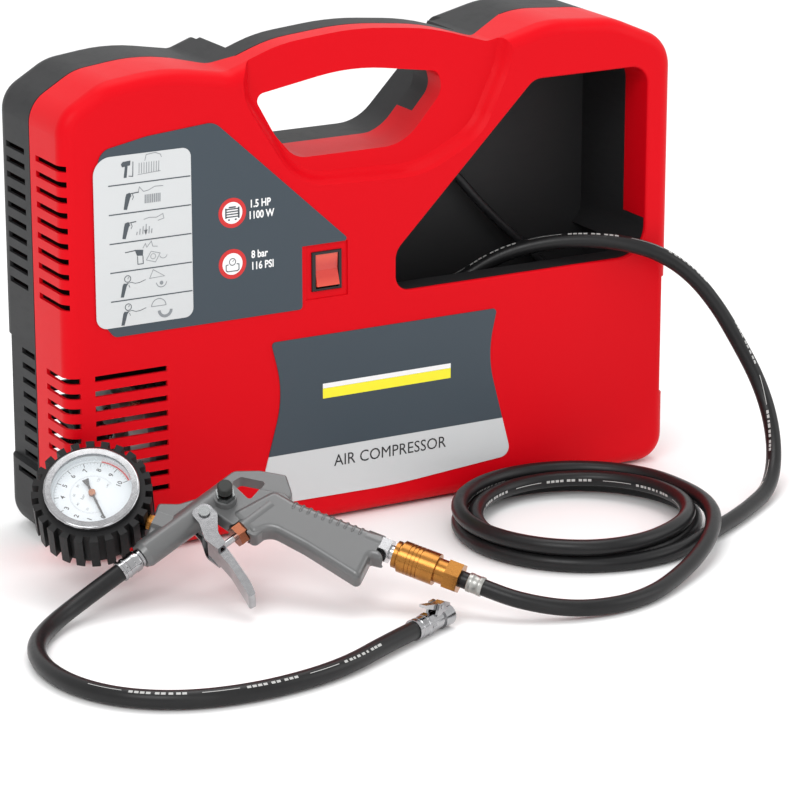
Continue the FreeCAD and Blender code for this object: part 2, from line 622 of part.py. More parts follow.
def build_motor():
    x0, x1 = STATOR
    bore = ROTOR_R + 0.6
    stator = ring_x(x0, x1, STATOR_R, bore)
    windows = [box(x0 - 1, x1 + 1, -17, 17, MOTOR_Z + side * POLE_AT - 4, MOTOR_Z + side * POLE_AT + 4)
               for side in (-1, 1)]
    stator = stator.cut(Part.makeCompound(windows))
    for index in range(6):
        x = x0 + 4 + index * (x1 - x0 - 8) / 5.0
        stator = stator.cut(ring_x(x - 0.4, x + 0.4, STATOR_R + 1, STATOR_R - 0.8))
    save("motor_field", stator)

    coils = []
    for side in (-1, 1):
        z = MOTOR_Z + side * POLE_AT
        loop = box(x0 - 8, x1 + 9, -16.7, 16.7, z - 3.7, z + 3.7)
        ends = [box(x0 - 8, x0 - CLEAR, -30, 30, z - 7, z + 4), box(x1 + CLEAR, x1 + 9, -30, 30, z - 7, z + 4)]
        coils.append(loop.multiFuse(ends))
    hollow = ring_x(x0 - 12, x1 + 12, bore + 2, 1)
    save("field_coils", Part.makeCompound([coil.cut(hollow) for coil in coils]))

    core = ring_x(x0, x1, ROTOR_R, SHAFT_R)
    slots = copies_about_axis(box(x0 - 1, x1 + 1, -1.2, 1.2, MOTOR_Z + ROTOR_R - 7, MOTOR_Z + ROTOR_R + 2), 12)
    windings = [ring_x(x0 - 8, x0, ROTOR_R - 3, SHAFT_R), ring_x(x1, x1 + 8, ROTOR_R - 3, SHAFT_R)]
    bars = ring_x(x1 + 8, x1 + 22, 13.0, SHAFT_R)
    grooves = copies_about_axis(box(x1 + 7, x1 + 20, -0.4, 0.4, MOTOR_Z + 12, MOTOR_Z + 14), 24)
    bars = bars.cut(Part.makeCompound(grooves))
    save("armature", core.cut(Part.makeCompound(slots)).multiFuse(windings + [bars]))

    brushes = []
    holders = []
    middle = x1 + 14
    for side in (-1, 1):
        inner, outer = sorted((side * 13.15, side * 27.0))
        brushes.append(box(middle - 3, middle + 3, inner, outer, MOTOR_Z - 4.5, MOTOR_Z + 4.5))
        a, b = sorted((side * 17.0, side * 40.0))
        sleeve = box(middle - 5, middle + 5, a, b, MOTOR_Z - 6.5, MOTOR_Z + 6.5)
        c, d = sorted((side * 16.0, side * 36.0))
        sleeve = sleeve.cut(box(middle - 3, middle + 3, c, d, MOTOR_Z - 4.5, MOTOR_Z + 4.5))
        a, b = sorted((side * 36.0, side * 40.0))
        arm = box(x1 + CLEAR, CASTING[0], a, b, MOTOR_Z - 6.5, MOTOR_Z + 6.5)
        holders.append(sleeve.fuse(arm))
    save("brush_gear", Part.makeCompound(brushes + holders))

    save("motor_shaft", rod(on_axis(FAN_END), on_axis(DISC[0]), SHAFT_R))
    seats = [(BRACKET[1] - BEARING_W, BRACKET[1]), (CASTING[0] + 1.5, CASTING[0] + 1.5 + BEARING_W)]
    bearings = []
    for a, b in seats:
        ring = ring_x(a, b, BEARING_R, SHAFT_R + RUN)
        for x in (a, b):
            ring = ring.cut(ring_x(x - 0.6, x + 0.6, 11.0, 8.5))
        bearings.append(ring)
    save("shaft_bearings", Part.makeCompound(bearings))

    hub = ring_x(FAN_END + 4, BRACKET[0] - 8, 11.0, SHAFT_R)
    blade = box(FAN_END + 4, BRACKET[0] - 8, -0.9, 0.9, MOTOR_Z + 9, MOTOR_Z + 41)
    blade.rotate(on_axis(FAN_END + 13), Vector(0, 0, 1), 32)
    blades = copies_about_axis(blade, 9)
    back = ring_x(BRACKET[0] - 10, BRACKET[0] - 8, 22.0, SHAFT_R)
    trim = ring_x(FAN_END + 4, BRACKET[0] - 8, 41.0, 0.5).fuse(hub)
    save("cooling_fan", hub.multiFuse(blades + [back]).common(trim).fuse(hub))

    disc = ring_x(BRACKET[0], BRACKET[1], STATOR_R - 1, BEARING_R)
    air_hole = rod(on_axis(BRACKET[0] - 1, 0, 28), on_axis(BRACKET[1] + 1, 0, 28), 8.5)
    disc = disc.cut(Part.makeCompound(copies_about_axis(air_hole, 6)))
    rim = ring_x(BRACKET[1], x0, STATOR_R - 1, STATOR_R - 5)
    for side in (-1, 1):
        z = MOTOR_Z + side * POLE_AT
        rim = rim.cut(box(BRACKET[1] + 1, x0 + 1, -31, 31, z - 15, z + 15))
    save("motor_bracket", disc.fuse(rim))


def build_pump():
    x0, x1 = CASTING
    block = rod(on_axis(x0), on_axis(x1), CRANKCASE_R)
    deck = box(x0, x1, -HEAD_HALF, HEAD_HALF, MOTOR_Z, MOTOR_Z + 42)
    foot = box(x0 + 4, x1 - 4, -32, 32, PLATE_Z + 2.5, MOTOR_Z)
    cavity = rod(on_axis(x0 + 12), on_axis(x1 + 1), CRANKCASE_R - 4)
    seat = rod(on_axis(x0 - 1), on_axis(x0 + 1.5 + BEARING_W), BEARING_R).cut(
        rod(on_axis(x0 - 1), on_axis(x0 + 1.5), BEARING_R))
    passage = rod(on_axis(x0 - 1), on_axis(x0 + 20), SHAFT_R + 2)
    neck = rod(Vector(PISTON_PLANE, 0, MOTOR_Z + 20), Vector(PISTON_PLANE, 0, MOTOR_Z + 50), BORE_R + 1.5)
    casting = block.multiFuse([deck, foot]).cut(Part.makeCompound([cavity, passage]))
    casting = casting.cut(neck).cut(seat)
    save("crankcase", casting)
    cover = rod(on_axis(x1), on_axis(x1 + 3), CRANKCASE_R)
    cover = cover.fuse(rod(on_axis(x1 + 3), on_axis(x1 + 5), CRANKCASE_R - 14))
    cover = cover.cut(Part.makeCompound(copies_about_axis(
        rod(on_axis(x1 - 1, 0, 34), on_axis(x1 + 6, 0, 34), 1.7), 4)))
    save("crankcase_cover", cover)

    disc = rod(on_axis(DISC[0]), on_axis(DISC[1]), 25.0)
    relief = box(DISC[0] + 4, DISC[1] + 1, -26, 26, MOTOR_Z + 3, MOTOR_Z + 30)
    keep = rod(on_axis(DISC[0], 0, CRANK_THROW), on_axis(DISC[1], 0, CRANK_THROW), 8.5)
    disc = disc.cut(relief.cut(keep))
    pin = rod(on_axis(DISC[1], 0, CRANK_THROW), on_axis(BIG_END[0] - PIN_GAP, 0, CRANK_THROW), 4.0)
    save("crank_disc", disc.fuse(pin))

    big = rod(on_axis(BIG_END[0], 0, CRANK_THROW), on_axis(BIG_END[1], 0, CRANK_THROW), BIG_END_R)
    middle = (BIG_END[0] + BIG_END[1]) / 2.0
    small = rod(Vector(BIG_END[0], 0, WRIST_Z), Vector(BIG_END[1], 0, WRIST_Z), 7.5)
    shank = box(middle - 2.5, middle + 2.5, -5, 5, MOTOR_Z + CRANK_THROW + 8, WRIST_Z - 5)
    flanges = [box(BIG_END[0] + 0.5, BIG_END[1] - 0.5, s * 5 - 1.2, s * 5 + 1.2,
                   MOTOR_Z + CRANK_THROW + 8, WRIST_Z - 5) for s in (-1, 1)]
    holes = [
        rod(Vector(BIG_END[0] - 1, 0, WRIST_Z), Vector(BIG_END[1] + 1, 0, WRIST_Z), WRIST_R + RUN),
        rod(on_axis(BIG_END[0] - 1, 0, CRANK_THROW), on_axis(BIG_END[1] + 1, 0, CRANK_THROW), 4.0 + RUN),
    ]
    save("connecting_rod", big.multiFuse([small, shank] + flanges).cut(Part.makeCompound(holes)))

    crown = WRIST_Z + 16.0
    centre = Vector(PISTON_PLANE, 0, 0)
    piston = rod(centre + Vector(0, 0, WRIST_Z - 9), centre + Vector(0, 0, crown), PISTON_R)
    hollow = rod(centre + Vector(0, 0, WRIST_Z - 10), centre + Vector(0, 0, crown - 6), PISTON_R - 3)
    lands = [box(PISTON_PLANE - 17, BIG_END[0] - 1.2, -7, 7, WRIST_Z - 7, crown - 5),
             box(BIG_END[1] + 1.2, PISTON_PLANE + 17, -7, 7, WRIST_Z - 7, crown - 5)]
    piston = piston.cut(hollow).multiFuse(lands)
    groove = tube(centre + Vector(0, 0, crown - 4.5), centre + Vector(0, 0, crown - 1.5), PISTON_R + 1, PISTON_R - 2)
    wrist_hole = rod(Vector(PISTON_PLANE - 30, 0, WRIST_Z), Vector(PISTON_PLANE + 30, 0, WRIST_Z), WRIST_R)
    ring = tube(centre + Vector(0, 0, crown - 4.5), centre + Vector(0, 0, crown - 1.5), BORE_R - 0.03, PISTON_R - 2)
    save("piston", piston.cut(Part.makeCompound([groove, wrist_hole])).fuse(ring))
    half = PISTON_R - 2.92
    save("wrist_pin", rod(Vector(PISTON_PLANE - half, 0, WRIST_Z), Vector(PISTON_PLANE + half, 0, WRIST_Z), WRIST_R))

    bottom = MOTOR_Z + 42.0
    barrel = [rod(centre + Vector(0, 0, bottom), centre + Vector(0, 0, HEAD_BASE), BORE_R + 4)]
    barrel.append(box(PISTON_PLANE - HEAD_HALF, PISTON_PLANE + HEAD_HALF, -HEAD_HALF, HEAD_HALF, bottom, bottom + 4))
    barrel.append(box(PISTON_PLANE - HEAD_HALF, PISTON_PLANE + HEAD_HALF, -HEAD_HALF, HEAD_HALF,
                      HEAD_BASE - 6, HEAD_BASE))
    fin_z = bottom + 9.0
    while fin_z < HEAD_BASE - 9:
        barrel.append(rod(centre + Vector(0, 0, fin_z), centre + Vector(0, 0, fin_z + 1.8), HEAD_HALF))
        fin_z += 6.0
    corners = [(PISTON_PLANE + a * BOLT_AT, b * BOLT_AT) for a in (-1, 1) for b in (-1, 1)]
    bolt_holes = [rod(Vector(x, y, HEAD_BASE - 12), Vector(x, y, HEAD_BASE + 60), 2.5) for x, y in corners]
    bore = rod(centre + Vector(0, 0, bottom - 1), centre + Vector(0, 0, HEAD_BASE + 1), BORE_R)
    save("cylinder", fuse(barrel).cut(Part.makeCompound([bore] + bolt_holes)))

    plate_top = HEAD_BASE + 4.0
    plate = box(PISTON_PLANE - HEAD_HALF, PISTON_PLANE + HEAD_HALF, -HEAD_HALF, HEAD_HALF, HEAD_BASE, plate_top)
    ports = [rod(centre + Vector(side * 9, 0, HEAD_BASE - 1), centre + Vector(side * 9, 0, plate_top + 1), 3.5)
             for side in (-1, 1)]
    plate = plate.cut(Part.makeCompound(bolt_holes + ports))
    reed = box(PISTON_PLANE + 4, PISTON_PLANE + 15, -4.5, 15, plate_top, plate_top + 0.4)
    other = box(PISTON_PLANE - 15, PISTON_PLANE - 4, -15, 4.5, plate_top, plate_top + 0.4)
    save("valve_plate", plate.multiFuse([reed, other]))

    head_top = plate_top + 16.0
    head = box(PISTON_PLANE - HEAD_HALF, PISTON_PLANE + HEAD_HALF, -HEAD_HALF, HEAD_HALF, plate_top, head_top)
    chambers = [box(PISTON_PLANE - 18, PISTON_PLANE - 2, -18, 18, plate_top - 1, plate_top + 9),
                box(PISTON_PLANE + 2, PISTON_PLANE + 18, -18, 18, plate_top - 1, plate_top + 9)]
    fins = []
    for index in range(7):
        x = PISTON_PLANE - 18 + index * 6.0
        fins.append(box(x - 1, x + 1, -HEAD_HALF, HEAD_HALF, head_top - 1, head_top + 9))
    mid_z = plate_top + 5.0
    ports = [
        rod(Vector(PISTON_PLANE + 10, 0, mid_z), Vector(PISTON_PLANE + 40, 0, mid_z), 4.0),
        rod(Vector(PISTON_PLANE - 40, 0, mid_z), Vector(PISTON_PLANE - 10, 0, mid_z), 4.0),
        rod(Vector(PISTON_PLANE + 10, 10, mid_z), Vector(PISTON_PLANE + 10, 40, mid_z), 3.5),
    ]
    save("cylinder_head", head.multiFuse(fins).cut(Part.makeCompound(chambers + ports + bolt_holes)))

    bolts = []
    for x, y in corners:
        shank = rod(Vector(x, y, HEAD_BASE - 12), Vector(x, y, head_top), 2.5)
        top = rod(Vector(x, y, head_top), Vector(x, y, head_top + 5), 4.2)
        socket = rod(Vector(x, y, head_top + 2), Vector(x, y, head_top + 6), 2.0)
        bolts.append(shank.fuse(top).cut(socket))
    save("head_bolts", Part.makeCompound(bolts))

    side = PISTON_PLANE - HEAD_HALF
    stub = tube(Vector(side - 6, 0, mid_z), Vector(side + 8, 0, mid_z), 4.0, 2.5)
    can = rod(Vector(side - 26, 0, mid_z), Vector(side - 6, 0, mid_z), 13.0)
    can = can.cut(rod(Vector(side - 24, 0, mid_z), Vector(side - 5, 0, mid_z), 2.5))
    for index in range(5):
        x = side - 23 + index * 3.6
        can = can.cut(tube(Vector(x, 0, mid_z), Vector(x + 1.4, 0, mid_z), 14.0, 11.5))
    save("air_filter", can.fuse(stub))

    valve_seat = Vector(PISTON_PLANE + 10, HEAD_HALF, mid_z)
    nut = hexagon(valve_seat, valve_seat + Vector(0, 6, 0), 11.3)
    thread = rod(valve_seat - Vector(0, 6, 0), valve_seat, 3.5)
    cap = rod(valve_seat + Vector(0, 6, 0), valve_seat + Vector(0, 17, 0), 4.5)
    save("safety_valve", nut.multiFuse([thread, cap]))

    # delivery line: elbow on the head, formed tube, bulkhead fitting in the compartment wall
    start = PISTON_PLANE + HEAD_HALF
    elbow = [tube(Vector(start - 8, 0, mid_z), Vector(start, 0, mid_z), LINE_R, LINE_BORE_R),
             tube(Vector(start, 0, mid_z), Vector(start + 9, 0, mid_z), LINE_R + 2.5, LINE_BORE_R)]
    line = pressure_line(Vector(start + 9, 0, mid_z), OUTLET - Vector(14, 0, 0))
    save("pressure_tube", line.multiFuse(elbow))
    body = rod(OUTLET - Vector(14, 0, 0), OUTLET + Vector(12, 0, 0), 8.0)
    flange = rod(OUTLET + Vector(0, 0, 0), OUTLET + Vector(4, 0, 0), 11.5)
    nut = rod(OUTLET - Vector(LINER + 5, 0, 0), OUTLET - Vector(LINER, 0, 0), 11.5)
    ferrule = rod(OUTLET + Vector(4, 0, 0), OUTLET + Vector(26, 0, 0), AIR_HOSE_D / 2 + 2.2)
    bored = rod(OUTLET - Vector(20, 0, 0), OUTLET + Vector(30, 0, 0), 3.0)
    seat = rod(OUTLET + Vector(12, 0, 0), OUTLET + Vector(30, 0, 0), AIR_HOSE_D / 2)
    save("hose_fitting", body.multiFuse([flange, nut, ferrule]).cut(Part.makeCompound([bored, seat])))

    plate = box(-208, -42, -34, 34, PLATE_Z, PLATE_Z + 2.5)
    saddles = [box(x, x + 4, -30, 30, PLATE_Z + 2.5, MOTOR_Z - 30) for x in (STATOR[0] + 4, STATOR[1] - 8)]
    saddles = [saddle.cut(rod(on_axis(-260), on_axis(-100), STATOR_R)) for saddle in saddles]
    base = plate.multiFuse(saddles)
    base = base.cut(Part.makeCompound([rod(Vector(x, y, 0), Vector(x, y, 30), 3.2) for x, y in MOUNT_PLACES]))
    save("motor_base", base)
    mounts = []
    for x, y in MOUNT_PLACES:
        puck = rod(Vector(x, y, CASE_BASE + WALL), Vector(x, y, PLATE_Z), 9.0)
        stud = rod(Vector(x, y, PLATE_Z), Vector(x, y, PLATE_Z + 2.4), 3.2)
        waist = tube(Vector(x, y, 8.5), Vector(x, y, 13.5), 12.0, 7.6)
        mounts.append(puck.cut(waist).fuse(stud))
    save("rubber_mounts", Part.makeCompound(mounts))


def pressure_line(start, end):
    """Formed tube: level, down, level again, with two equal bends."""
    bend = 9.0
    x = (start.x + end.x) / 2.0
    corner_a = Vector(x, 0, start.z)
    corner_b = Vector(x, 0, end.z)
    k = bend * (1 - math.sqrt(0.5))
    edges = [
        Part.makeLine(start, corner_a - Vector(bend, 0, 0)),
        Part.Arc(corner_a - Vector(bend, 0, 0), corner_a + Vector(-k, 0, -k), corner_a - Vector(0, 0, bend)).toShape(),
        Part.makeLine(corner_a - Vector(0, 0, bend), corner_b + Vector(0, 0, bend)),
        Part.Arc(corner_b + Vector(0, 0, bend), corner_b + Vector(k, 0, k), corner_b + Vector(bend, 0, 0)).toShape(),
        Part.makeLine(corner_b + Vector(bend, 0, 0), end),
    ]
    path = Part.Wire(edges)
    along = Vector(1, 0, 0)
    return round_along(path, start, along, LINE_R).cut(round_along(path, start, along, LINE_BORE_R))


# ---------------------------------------------------------------- tyre inflator
# Built flat: x along the barrel to the rear, y up, z out of the dial; gauge centre at the origin.
GAUGE_CENTRE = Vector(-268.0, -110.0, 67.0)
GUN_TILT = 38.0            # dial leans back this far from upright
GUN_TURN = 42.0            # barrel above level within the dial plane
GUN_YAW = -29.0            # dial faces this way round
BARREL_Y = -60.0
BARREL_X = 80.0
PIVOT = Vector(50.4, -68.0, 0.0)
PLUNGER_Y = -93.0
PLUNGER_TIP = 40.5
BLEED = Vector(70.8, -67.8, 0.0)
INLET = Vector(129.3, -167.7, 0.0)
INLET_WAY = Vector(0.402, -0.9156, 0.0)
STEM_WAY = Vector(0.4384, -0.8988, 0.0)
POINTER_REST = -107.0      # turn of the pointer that rests on its zero stop
BOOT_TEETH = 24
BOOT_TOOTH = 4.6           # how far the teeth stand out
SLEEVE = (21.0, 49.0)      # the coupler's sliding sleeve, along the inlet
COUPLER_END = 68.0
FERRULE_LONG = 16.0
GRIP_HALF = 9.0
RIB_COUNT = 9
RIB_R = 2.6
RIBS_FROM = Vector(110.1, -103.3, 0.0)    # line of the hollows in the back of the grip
RIBS_TO = Vector(131.4, -152.8, 0.0)


def gun_placement():
    """Place of the inflator, which leans on the case with its trigger and grip near the floor."""
    yaw = FreeCAD.Rotation(Vector(0, 0, 1), GUN_YAW)
    lean = FreeCAD.Rotation(Vector(1, 0, 0), GUN_TILT)
    turn = FreeCAD.Rotation(Vector(0, 0, 1), GUN_TURN)
    return FreeCAD.Placement(GAUGE_CENTRE, yaw.multiply(lean).multiply(turn))


GUN = gun_placement()


def save_on_gun(name, shape, merge=True):
    shape = shape.copy()
    shape.Placement = GUN.multiply(shape.Placement)
    return save(name, shape, merge)


def gun_point(x, y, z=0.0):
    return GUN.multVec(Vector(x, y, z))


def gun_prism(corners, z0, z1, soft=0.0):
    """Outline in the plane of the dial, from z0 to z1, with softened outer edges."""
    wire = Part.Wire(rounded_edges(corners, lambda a, b: Vector(a, b, z0)))
    solid = Part.Face(wire).extrude(Vector(0, 0, z1 - z0))
    if soft > 0:
        rims = [edge for edge in solid.Edges
                if abs(edge.valueAt(edge.FirstParameter).z - edge.valueAt(edge.LastParameter).z) < 1e-6]
        solid = solid.makeFillet(soft, rims)
    return solid


def along_inlet(distance):
    return INLET + INLET_WAY * distance


def along_stem(distance):
    return STEM_WAY * distance


def build_inflator():
    barrel_end = Vector(0, BARREL_Y, 0)
    barrel = rod(barrel_end, Vector(BARREL_X, BARREL_Y, 0), BARREL_R)
    grip = gun_prism([
        (66.0, -78.0, 4.0), (104.0, -84.0, 8.0), (108.3, -102.0, 10.0), (131.6, -156.0, 6.0),
        (139.0, -170.0, 3.0), (122.5, -183.0, 1.5), (117.6, -175.0, 1.5), (97.5, -184.5, 4.0),
        (87.5, -136.0, 30.0), (79.5, -108.0, 12.0), (66.0, -104.0, 3.0),
    ], -GRIP_HALF, GRIP_HALF, 5.0)
    web = gun_prism([
        (56.0, -60.0, 2.0), (84.0, -60.0, 2.0), (108.0, -92.0, 4.0), (106.0, -106.0, 4.0),
        (66.0, -106.0, 4.0), (60.0, -84.0, 6.0),
    ], -7.5, 7.5, 1.5)
    gusset = gun_prism([
        (33.0, -35.5, 3.0), (44.0, -46.0, 12.0), (62.0, -53.0, 8.0), (72.0, -54.5, 4.0),
        (80.0, -62.0, 3.0), (60.0, -66.0, 2.0), (6.0, -60.0, 2.0), (9.0, -51.0, 3.0),
    ], -6.5, 6.5, 2.0)
    hook = gun_prism([
        (62.0, -57.0, 2.0), (70.0, -50.5, 4.0), (93.0, -50.5, 8.0), (107.5, -63.0, 10.0),
        (119.5, -79.5, 3.0), (111.0, -97.0, 6.0), (80.0, -96.0, 3.0), (62.0, -80.0, 3.0),
    ], -6.0, 6.0, 2.0)
    window = gun_prism([(84.0, -57.5, 2.5), (93.0, -58.5, 4.0), (104.5, -75.0, 2.5), (84.0, -79.5, 2.5)], -30, 30)
    valve = rod(Vector(66.0, PLUNGER_Y, 0), Vector(94.0, PLUNGER_Y, 0), 9.5)
    lug = rod(PIVOT + Vector(0, 0, -10.8), PIVOT + Vector(0, 0, 10.8), 6.5)
    bleed = rod(BLEED + Vector(0, 0, -3), BLEED + Vector(0, 0, 13.5), 8.2)
    inlet = rod(along_inlet(-8), along_inlet(4.0), 9.5)
    boss = hexagon(along_stem(50.0), along_stem(63.0), 19.0)
    nose = cone(Vector(-4, BARREL_Y, 0), barrel_end, 9.0, BARREL_R)
    ribs = []
    for index in range(RIB_COUNT):
        share = (index + 0.5) / RIB_COUNT
        at = RIBS_FROM + (RIBS_TO - RIBS_FROM) * share
        ribs.append(rod(at + Vector(0, 0, -14), at + Vector(0, 0, 14), RIB_R))
    bores = [
        rod(Vector(-5, BARREL_Y, 0), Vector(24, BARREL_Y, 0), 4.0),
        rod(PIVOT + Vector(0, 0, -20), PIVOT + Vector(0, 0, 20), 3.0),
        rod(Vector(60, PLUNGER_Y, 0), Vector(86.0, PLUNGER_Y, 0), 5.5),
        rod(BLEED + Vector(0, 0, 1), BLEED + Vector(0, 0, 20), 5.0),
        rod(Vector(35, PLUNGER_Y, 0), Vector(66, PLUNGER_Y, 0), 9.2),
        rod(along_inlet(4.0), along_inlet(30), 12.2),
        rod(along_inlet(-5), along_inlet(5.0), 6.0),
        rod(along_inlet(-12), along_inlet(-4), 3.0),
        rod(along_stem(62), along_stem(49), 4.0),
        rod(along_stem(30), along_stem(50), 7.4),
    ]
    grip = grip.cut(Part.makeCompound(ribs))
    body = barrel
    for piece in (web, gusset, hook, grip, valve, lug, bleed, inlet, boss, nose):
        body = body.fuse(piece).removeSplitter()
    for tool in [window] + bores:
        body = body.cut(tool)
    save_on_gun("inflator_body", body, merge=False)

    cheek = [(42.5, -61.0, 5.0), (57.5, -61.0, 6.0), (57.0, -75.0, 5.0), (46.5, -88.0, 8.0),
             (45.0, -99.0, 2.0), (37.0, -99.0, 2.0), (35.5, -86.0, 10.0), (41.5, -73.0, 8.0)]
    blade = [(37.0, -88.0, 0.5), (44.5, -88.0, 0.5), (44.8, -98.0, 12.0), (42.5, -112.0, 30.0), (38.5, -133.0, 20.0),
             (34.5, -144.0, 1.5), (29.0, -143.0, 1.5), (31.0, -136.0, 8.0), (36.0, -114.0, 30.0), (37.0, -99.0, 12.0)]
    channel = [(39.5, -86.0, 0.5), (50.0, -86.0, 0.5), (50.0, -128.0, 0.5), (36.6, -136.5, 0.5), (38.2, -117.0, 30.0),
               (39.5, -101.0, 12.0)]
    lever = gun_prism(cheek, -13.0, -11.2).multiFuse([
        gun_prism(cheek, 11.2, 13.0),
        gun_prism(blade, -8.5, 8.5).cut(gun_prism(channel, -6.7, 6.7)),
        box(37.0, 39.5, -99.0, -87.0, -13.0, 13.0),
    ])
    lever = lever.cut(rod(PIVOT + Vector(0, 0, -20), PIVOT + Vector(0, 0, 20), 3.0 + RUN))
    save_on_gun("inflator_trigger", lever)
    pin = rod(PIVOT + Vector(0, 0, -13.6), PIVOT + Vector(0, 0, 13.6), 3.0)
    heads = [rod(PIVOT + Vector(0, 0, 13.3), PIVOT + Vector(0, 0, 14.8), 4.4),
             rod(PIVOT + Vector(0, 0, -14.8), PIVOT + Vector(0, 0, -13.3), 4.4)]
    hardware = [pin.multiFuse(heads)]

    nut = hexagon(Vector(58, PLUNGER_Y, 0), Vector(66, PLUNGER_Y, 0), 15.0)
    nut = nut.fuse(rod(Vector(60, PLUNGER_Y, 0), Vector(74, PLUNGER_Y, 0), 5.5))
    hardware.append(nut.cut(rod(Vector(50, PLUNGER_Y, 0), Vector(80, PLUNGER_Y, 0), 2.5 + RUN)))
    plunger = rod(Vector(PLUNGER_TIP, PLUNGER_Y, 0), Vector(76, PLUNGER_Y, 0), 2.5)
    plunger = plunger.fuse(rod(Vector(74.6, PLUNGER_Y, 0), Vector(77.5, PLUNGER_Y, 0), 4.6))
    save_on_gun("valve_plunger", plunger)

    nut = hexagon(BLEED + Vector(0, 0, 13.5), BLEED + Vector(0, 0, 18), 13.0)
    nut = nut.fuse(rod(BLEED + Vector(0, 0, 4), BLEED + Vector(0, 0, 14), 5.0))
    hardware.append(nut.cut(rod(BLEED, BLEED + Vector(0, 0, 20), 2.2 + RUN)))
    save_on_gun("gun_hardware", Part.makeCompound(hardware))
    button = rod(BLEED + Vector(0, 0, 5), BLEED + Vector(0, 0, 21), 2.2)
    knob = rod(BLEED + Vector(0, 0, 20.5), BLEED + Vector(0, 0, 28), 5.6)
    knob = knob.makeFillet(1.5, [edge for edge in knob.Edges if abs(edge.CenterOfMass.z - 28) < 0.1])
    save_on_gun("bleed_button", button.fuse(knob))

    # gauge
    stem = rod(along_stem(60), along_stem(GAUGE_R - 5), 4.0)
    nut = hexagon(along_stem(50), along_stem(BOOT_R + 1), 11.0)
    stem = stem.fuse(nut).cut(rod(along_stem(61), along_stem(GAUGE_R - 6), 1.6))
    zero = Vector(0, 0, 0)
    axis = Vector(0, 0, 1)
    case = rod(axis * -14, axis * 15, GAUGE_R).cut(rod(axis * -12.5, axis * 16, GAUGE_R - 1.8))
    case = case.fuse(rod(axis * 8, axis * 10, GAUGE_R - 1).cut(rod(axis * 7, axis * 11, GAUGE_R - 4)))
    case = case.cut(rod(along_stem(GAUGE_R + 2), zero, 4.0))
    save_on_gun("gauge_case", case)
    boot = rod(axis * -18, axis * 15, BOOT_R + 0.5)
    teeth = []
    for index in range(BOOT_TEETH):
        notch = box(BOOT_R - BOOT_TOOTH, BOOT_R + 3, -2.6, 2.6, -19, 16)
        notch.rotate(zero, axis, 360.0 * index / BOOT_TEETH)
        teeth.append(notch)
    boot = boot.cut(Part.makeCompound(teeth + [
        rod(axis * -14.3, axis * 16, GAUGE_R + 0.1), rod(axis * -20, axis * 10, GAUGE_R - 7),
        rod(along_stem(60), zero, 6.6)]))
    save_on_gun("gauge_boot", boot)
    rim = rod(axis * 15.3, axis * 20.5, GAUGE_R + 2.6)
    rim = rim.makeFillet(1.6, [edge for edge in rim.Edges if abs(edge.CenterOfMass.z - 20.5) < 0.1])
    rim = rim.cut(rod(axis * 14, axis * 18.5, GAUGE_R - 1.6)).cut(rod(axis * 18, axis * 22, GAUGE_R - 3.2))
    save_on_gun("gauge_rim", rim)
    dial = rod(axis * 10, axis * 10.8, GAUGE_R - 1.9)
    dial = dial.fuse(tube(axis * 10, axis * 16.4, GAUGE_R - 1.9, GAUGE_R - 2.9))
    save_on_gun("gauge_dial", dial.cut(rod(axis * 9, axis * 12, 1.2)))
    save_on_gun("gauge_lens", rod(axis * 16.5, axis * 18.4, GAUGE_R - 1.9))
    spring = Part.makeTorus(20, 2.6, zero, axis, -180, 180, 285)
    spring.rotate(zero, axis, math.degrees(math.atan2(STEM_WAY.y, STEM_WAY.x)))
    block = rod(along_stem(GAUGE_R - 5.2), along_stem(14), 5.5)
    works = box(-9, 9, -6, 6, -4.5, 4.5).fuse(rod(axis * 4, axis * 7.5, 7.0))
    bridge = fuse([spring, block, rod(along_stem(16), zero, 4.0), works, stem])
    save_on_gun("gauge_movement", bridge.cut(rod(axis * 2, axis * 12, 1.0 + RUN)))
    needle = [(-13.0, -2.6, 0.3), (-7.0, -0.9, 0.3), (22.0, -0.7, 0.1), (24.5, 0.0, 0.1), (22.0, 0.7, 0.1),
              (-7.0, 0.9, 0.3), (-13.0, 2.6, 0.3)]
    pointer = gun_prism(needle, 12.4, 13.1).multiFuse([
        rod(axis * 3, axis * 13, 1.0), rod(axis * 11.8, axis * 14.6, 2.6)])
    pointer.rotate(zero, axis, POINTER_REST)
    save_on_gun("gauge_pointer", pointer)

    # quick coupler
    nipple = [hexagon(along_inlet(4.0), along_inlet(12.0), 17.0),
              rod(along_inlet(-4), along_inlet(30), 5.4), rod(along_inlet(-3.9), along_inlet(4.5), 6.0)]
    nipple = fuse(nipple).cut(rod(along_inlet(-5), along_inlet(31), 3.0))
    save_on_gun("coupler_nipple", nipple.cut(tube(along_inlet(21), along_inlet(24), 7, 4.4)))
    body = [rod(along_inlet(16), along_inlet(57), 9.2), hexagon(along_inlet(57), along_inlet(68), 21.0),
            rod(along_inlet(16), along_inlet(19), 10.2)]
    body = fuse(body).cut(rod(along_inlet(15), along_inlet(33), 5.4 + RUN)).cut(
        rod(along_inlet(32), along_inlet(69), 4.0))
    save_on_gun("coupler_body", body)
    sleeve = tube(along_inlet(SLEEVE[0]), along_inlet(SLEEVE[1]), 12.0, 9.2 + RUN)
    grips = [tube(along_inlet(s), along_inlet(s + 1.2), 13.0, 11.3) for s in (27, 30, 33, 36)]
    save_on_gun("coupler_sleeve", sleeve.cut(Part.makeCompound(grips)))


# ---------------------------------------------------------------- air hoses
COIL_CENTRE = Vector(115.0, -175.0, 0.0)
COIL_BASE = 0.3

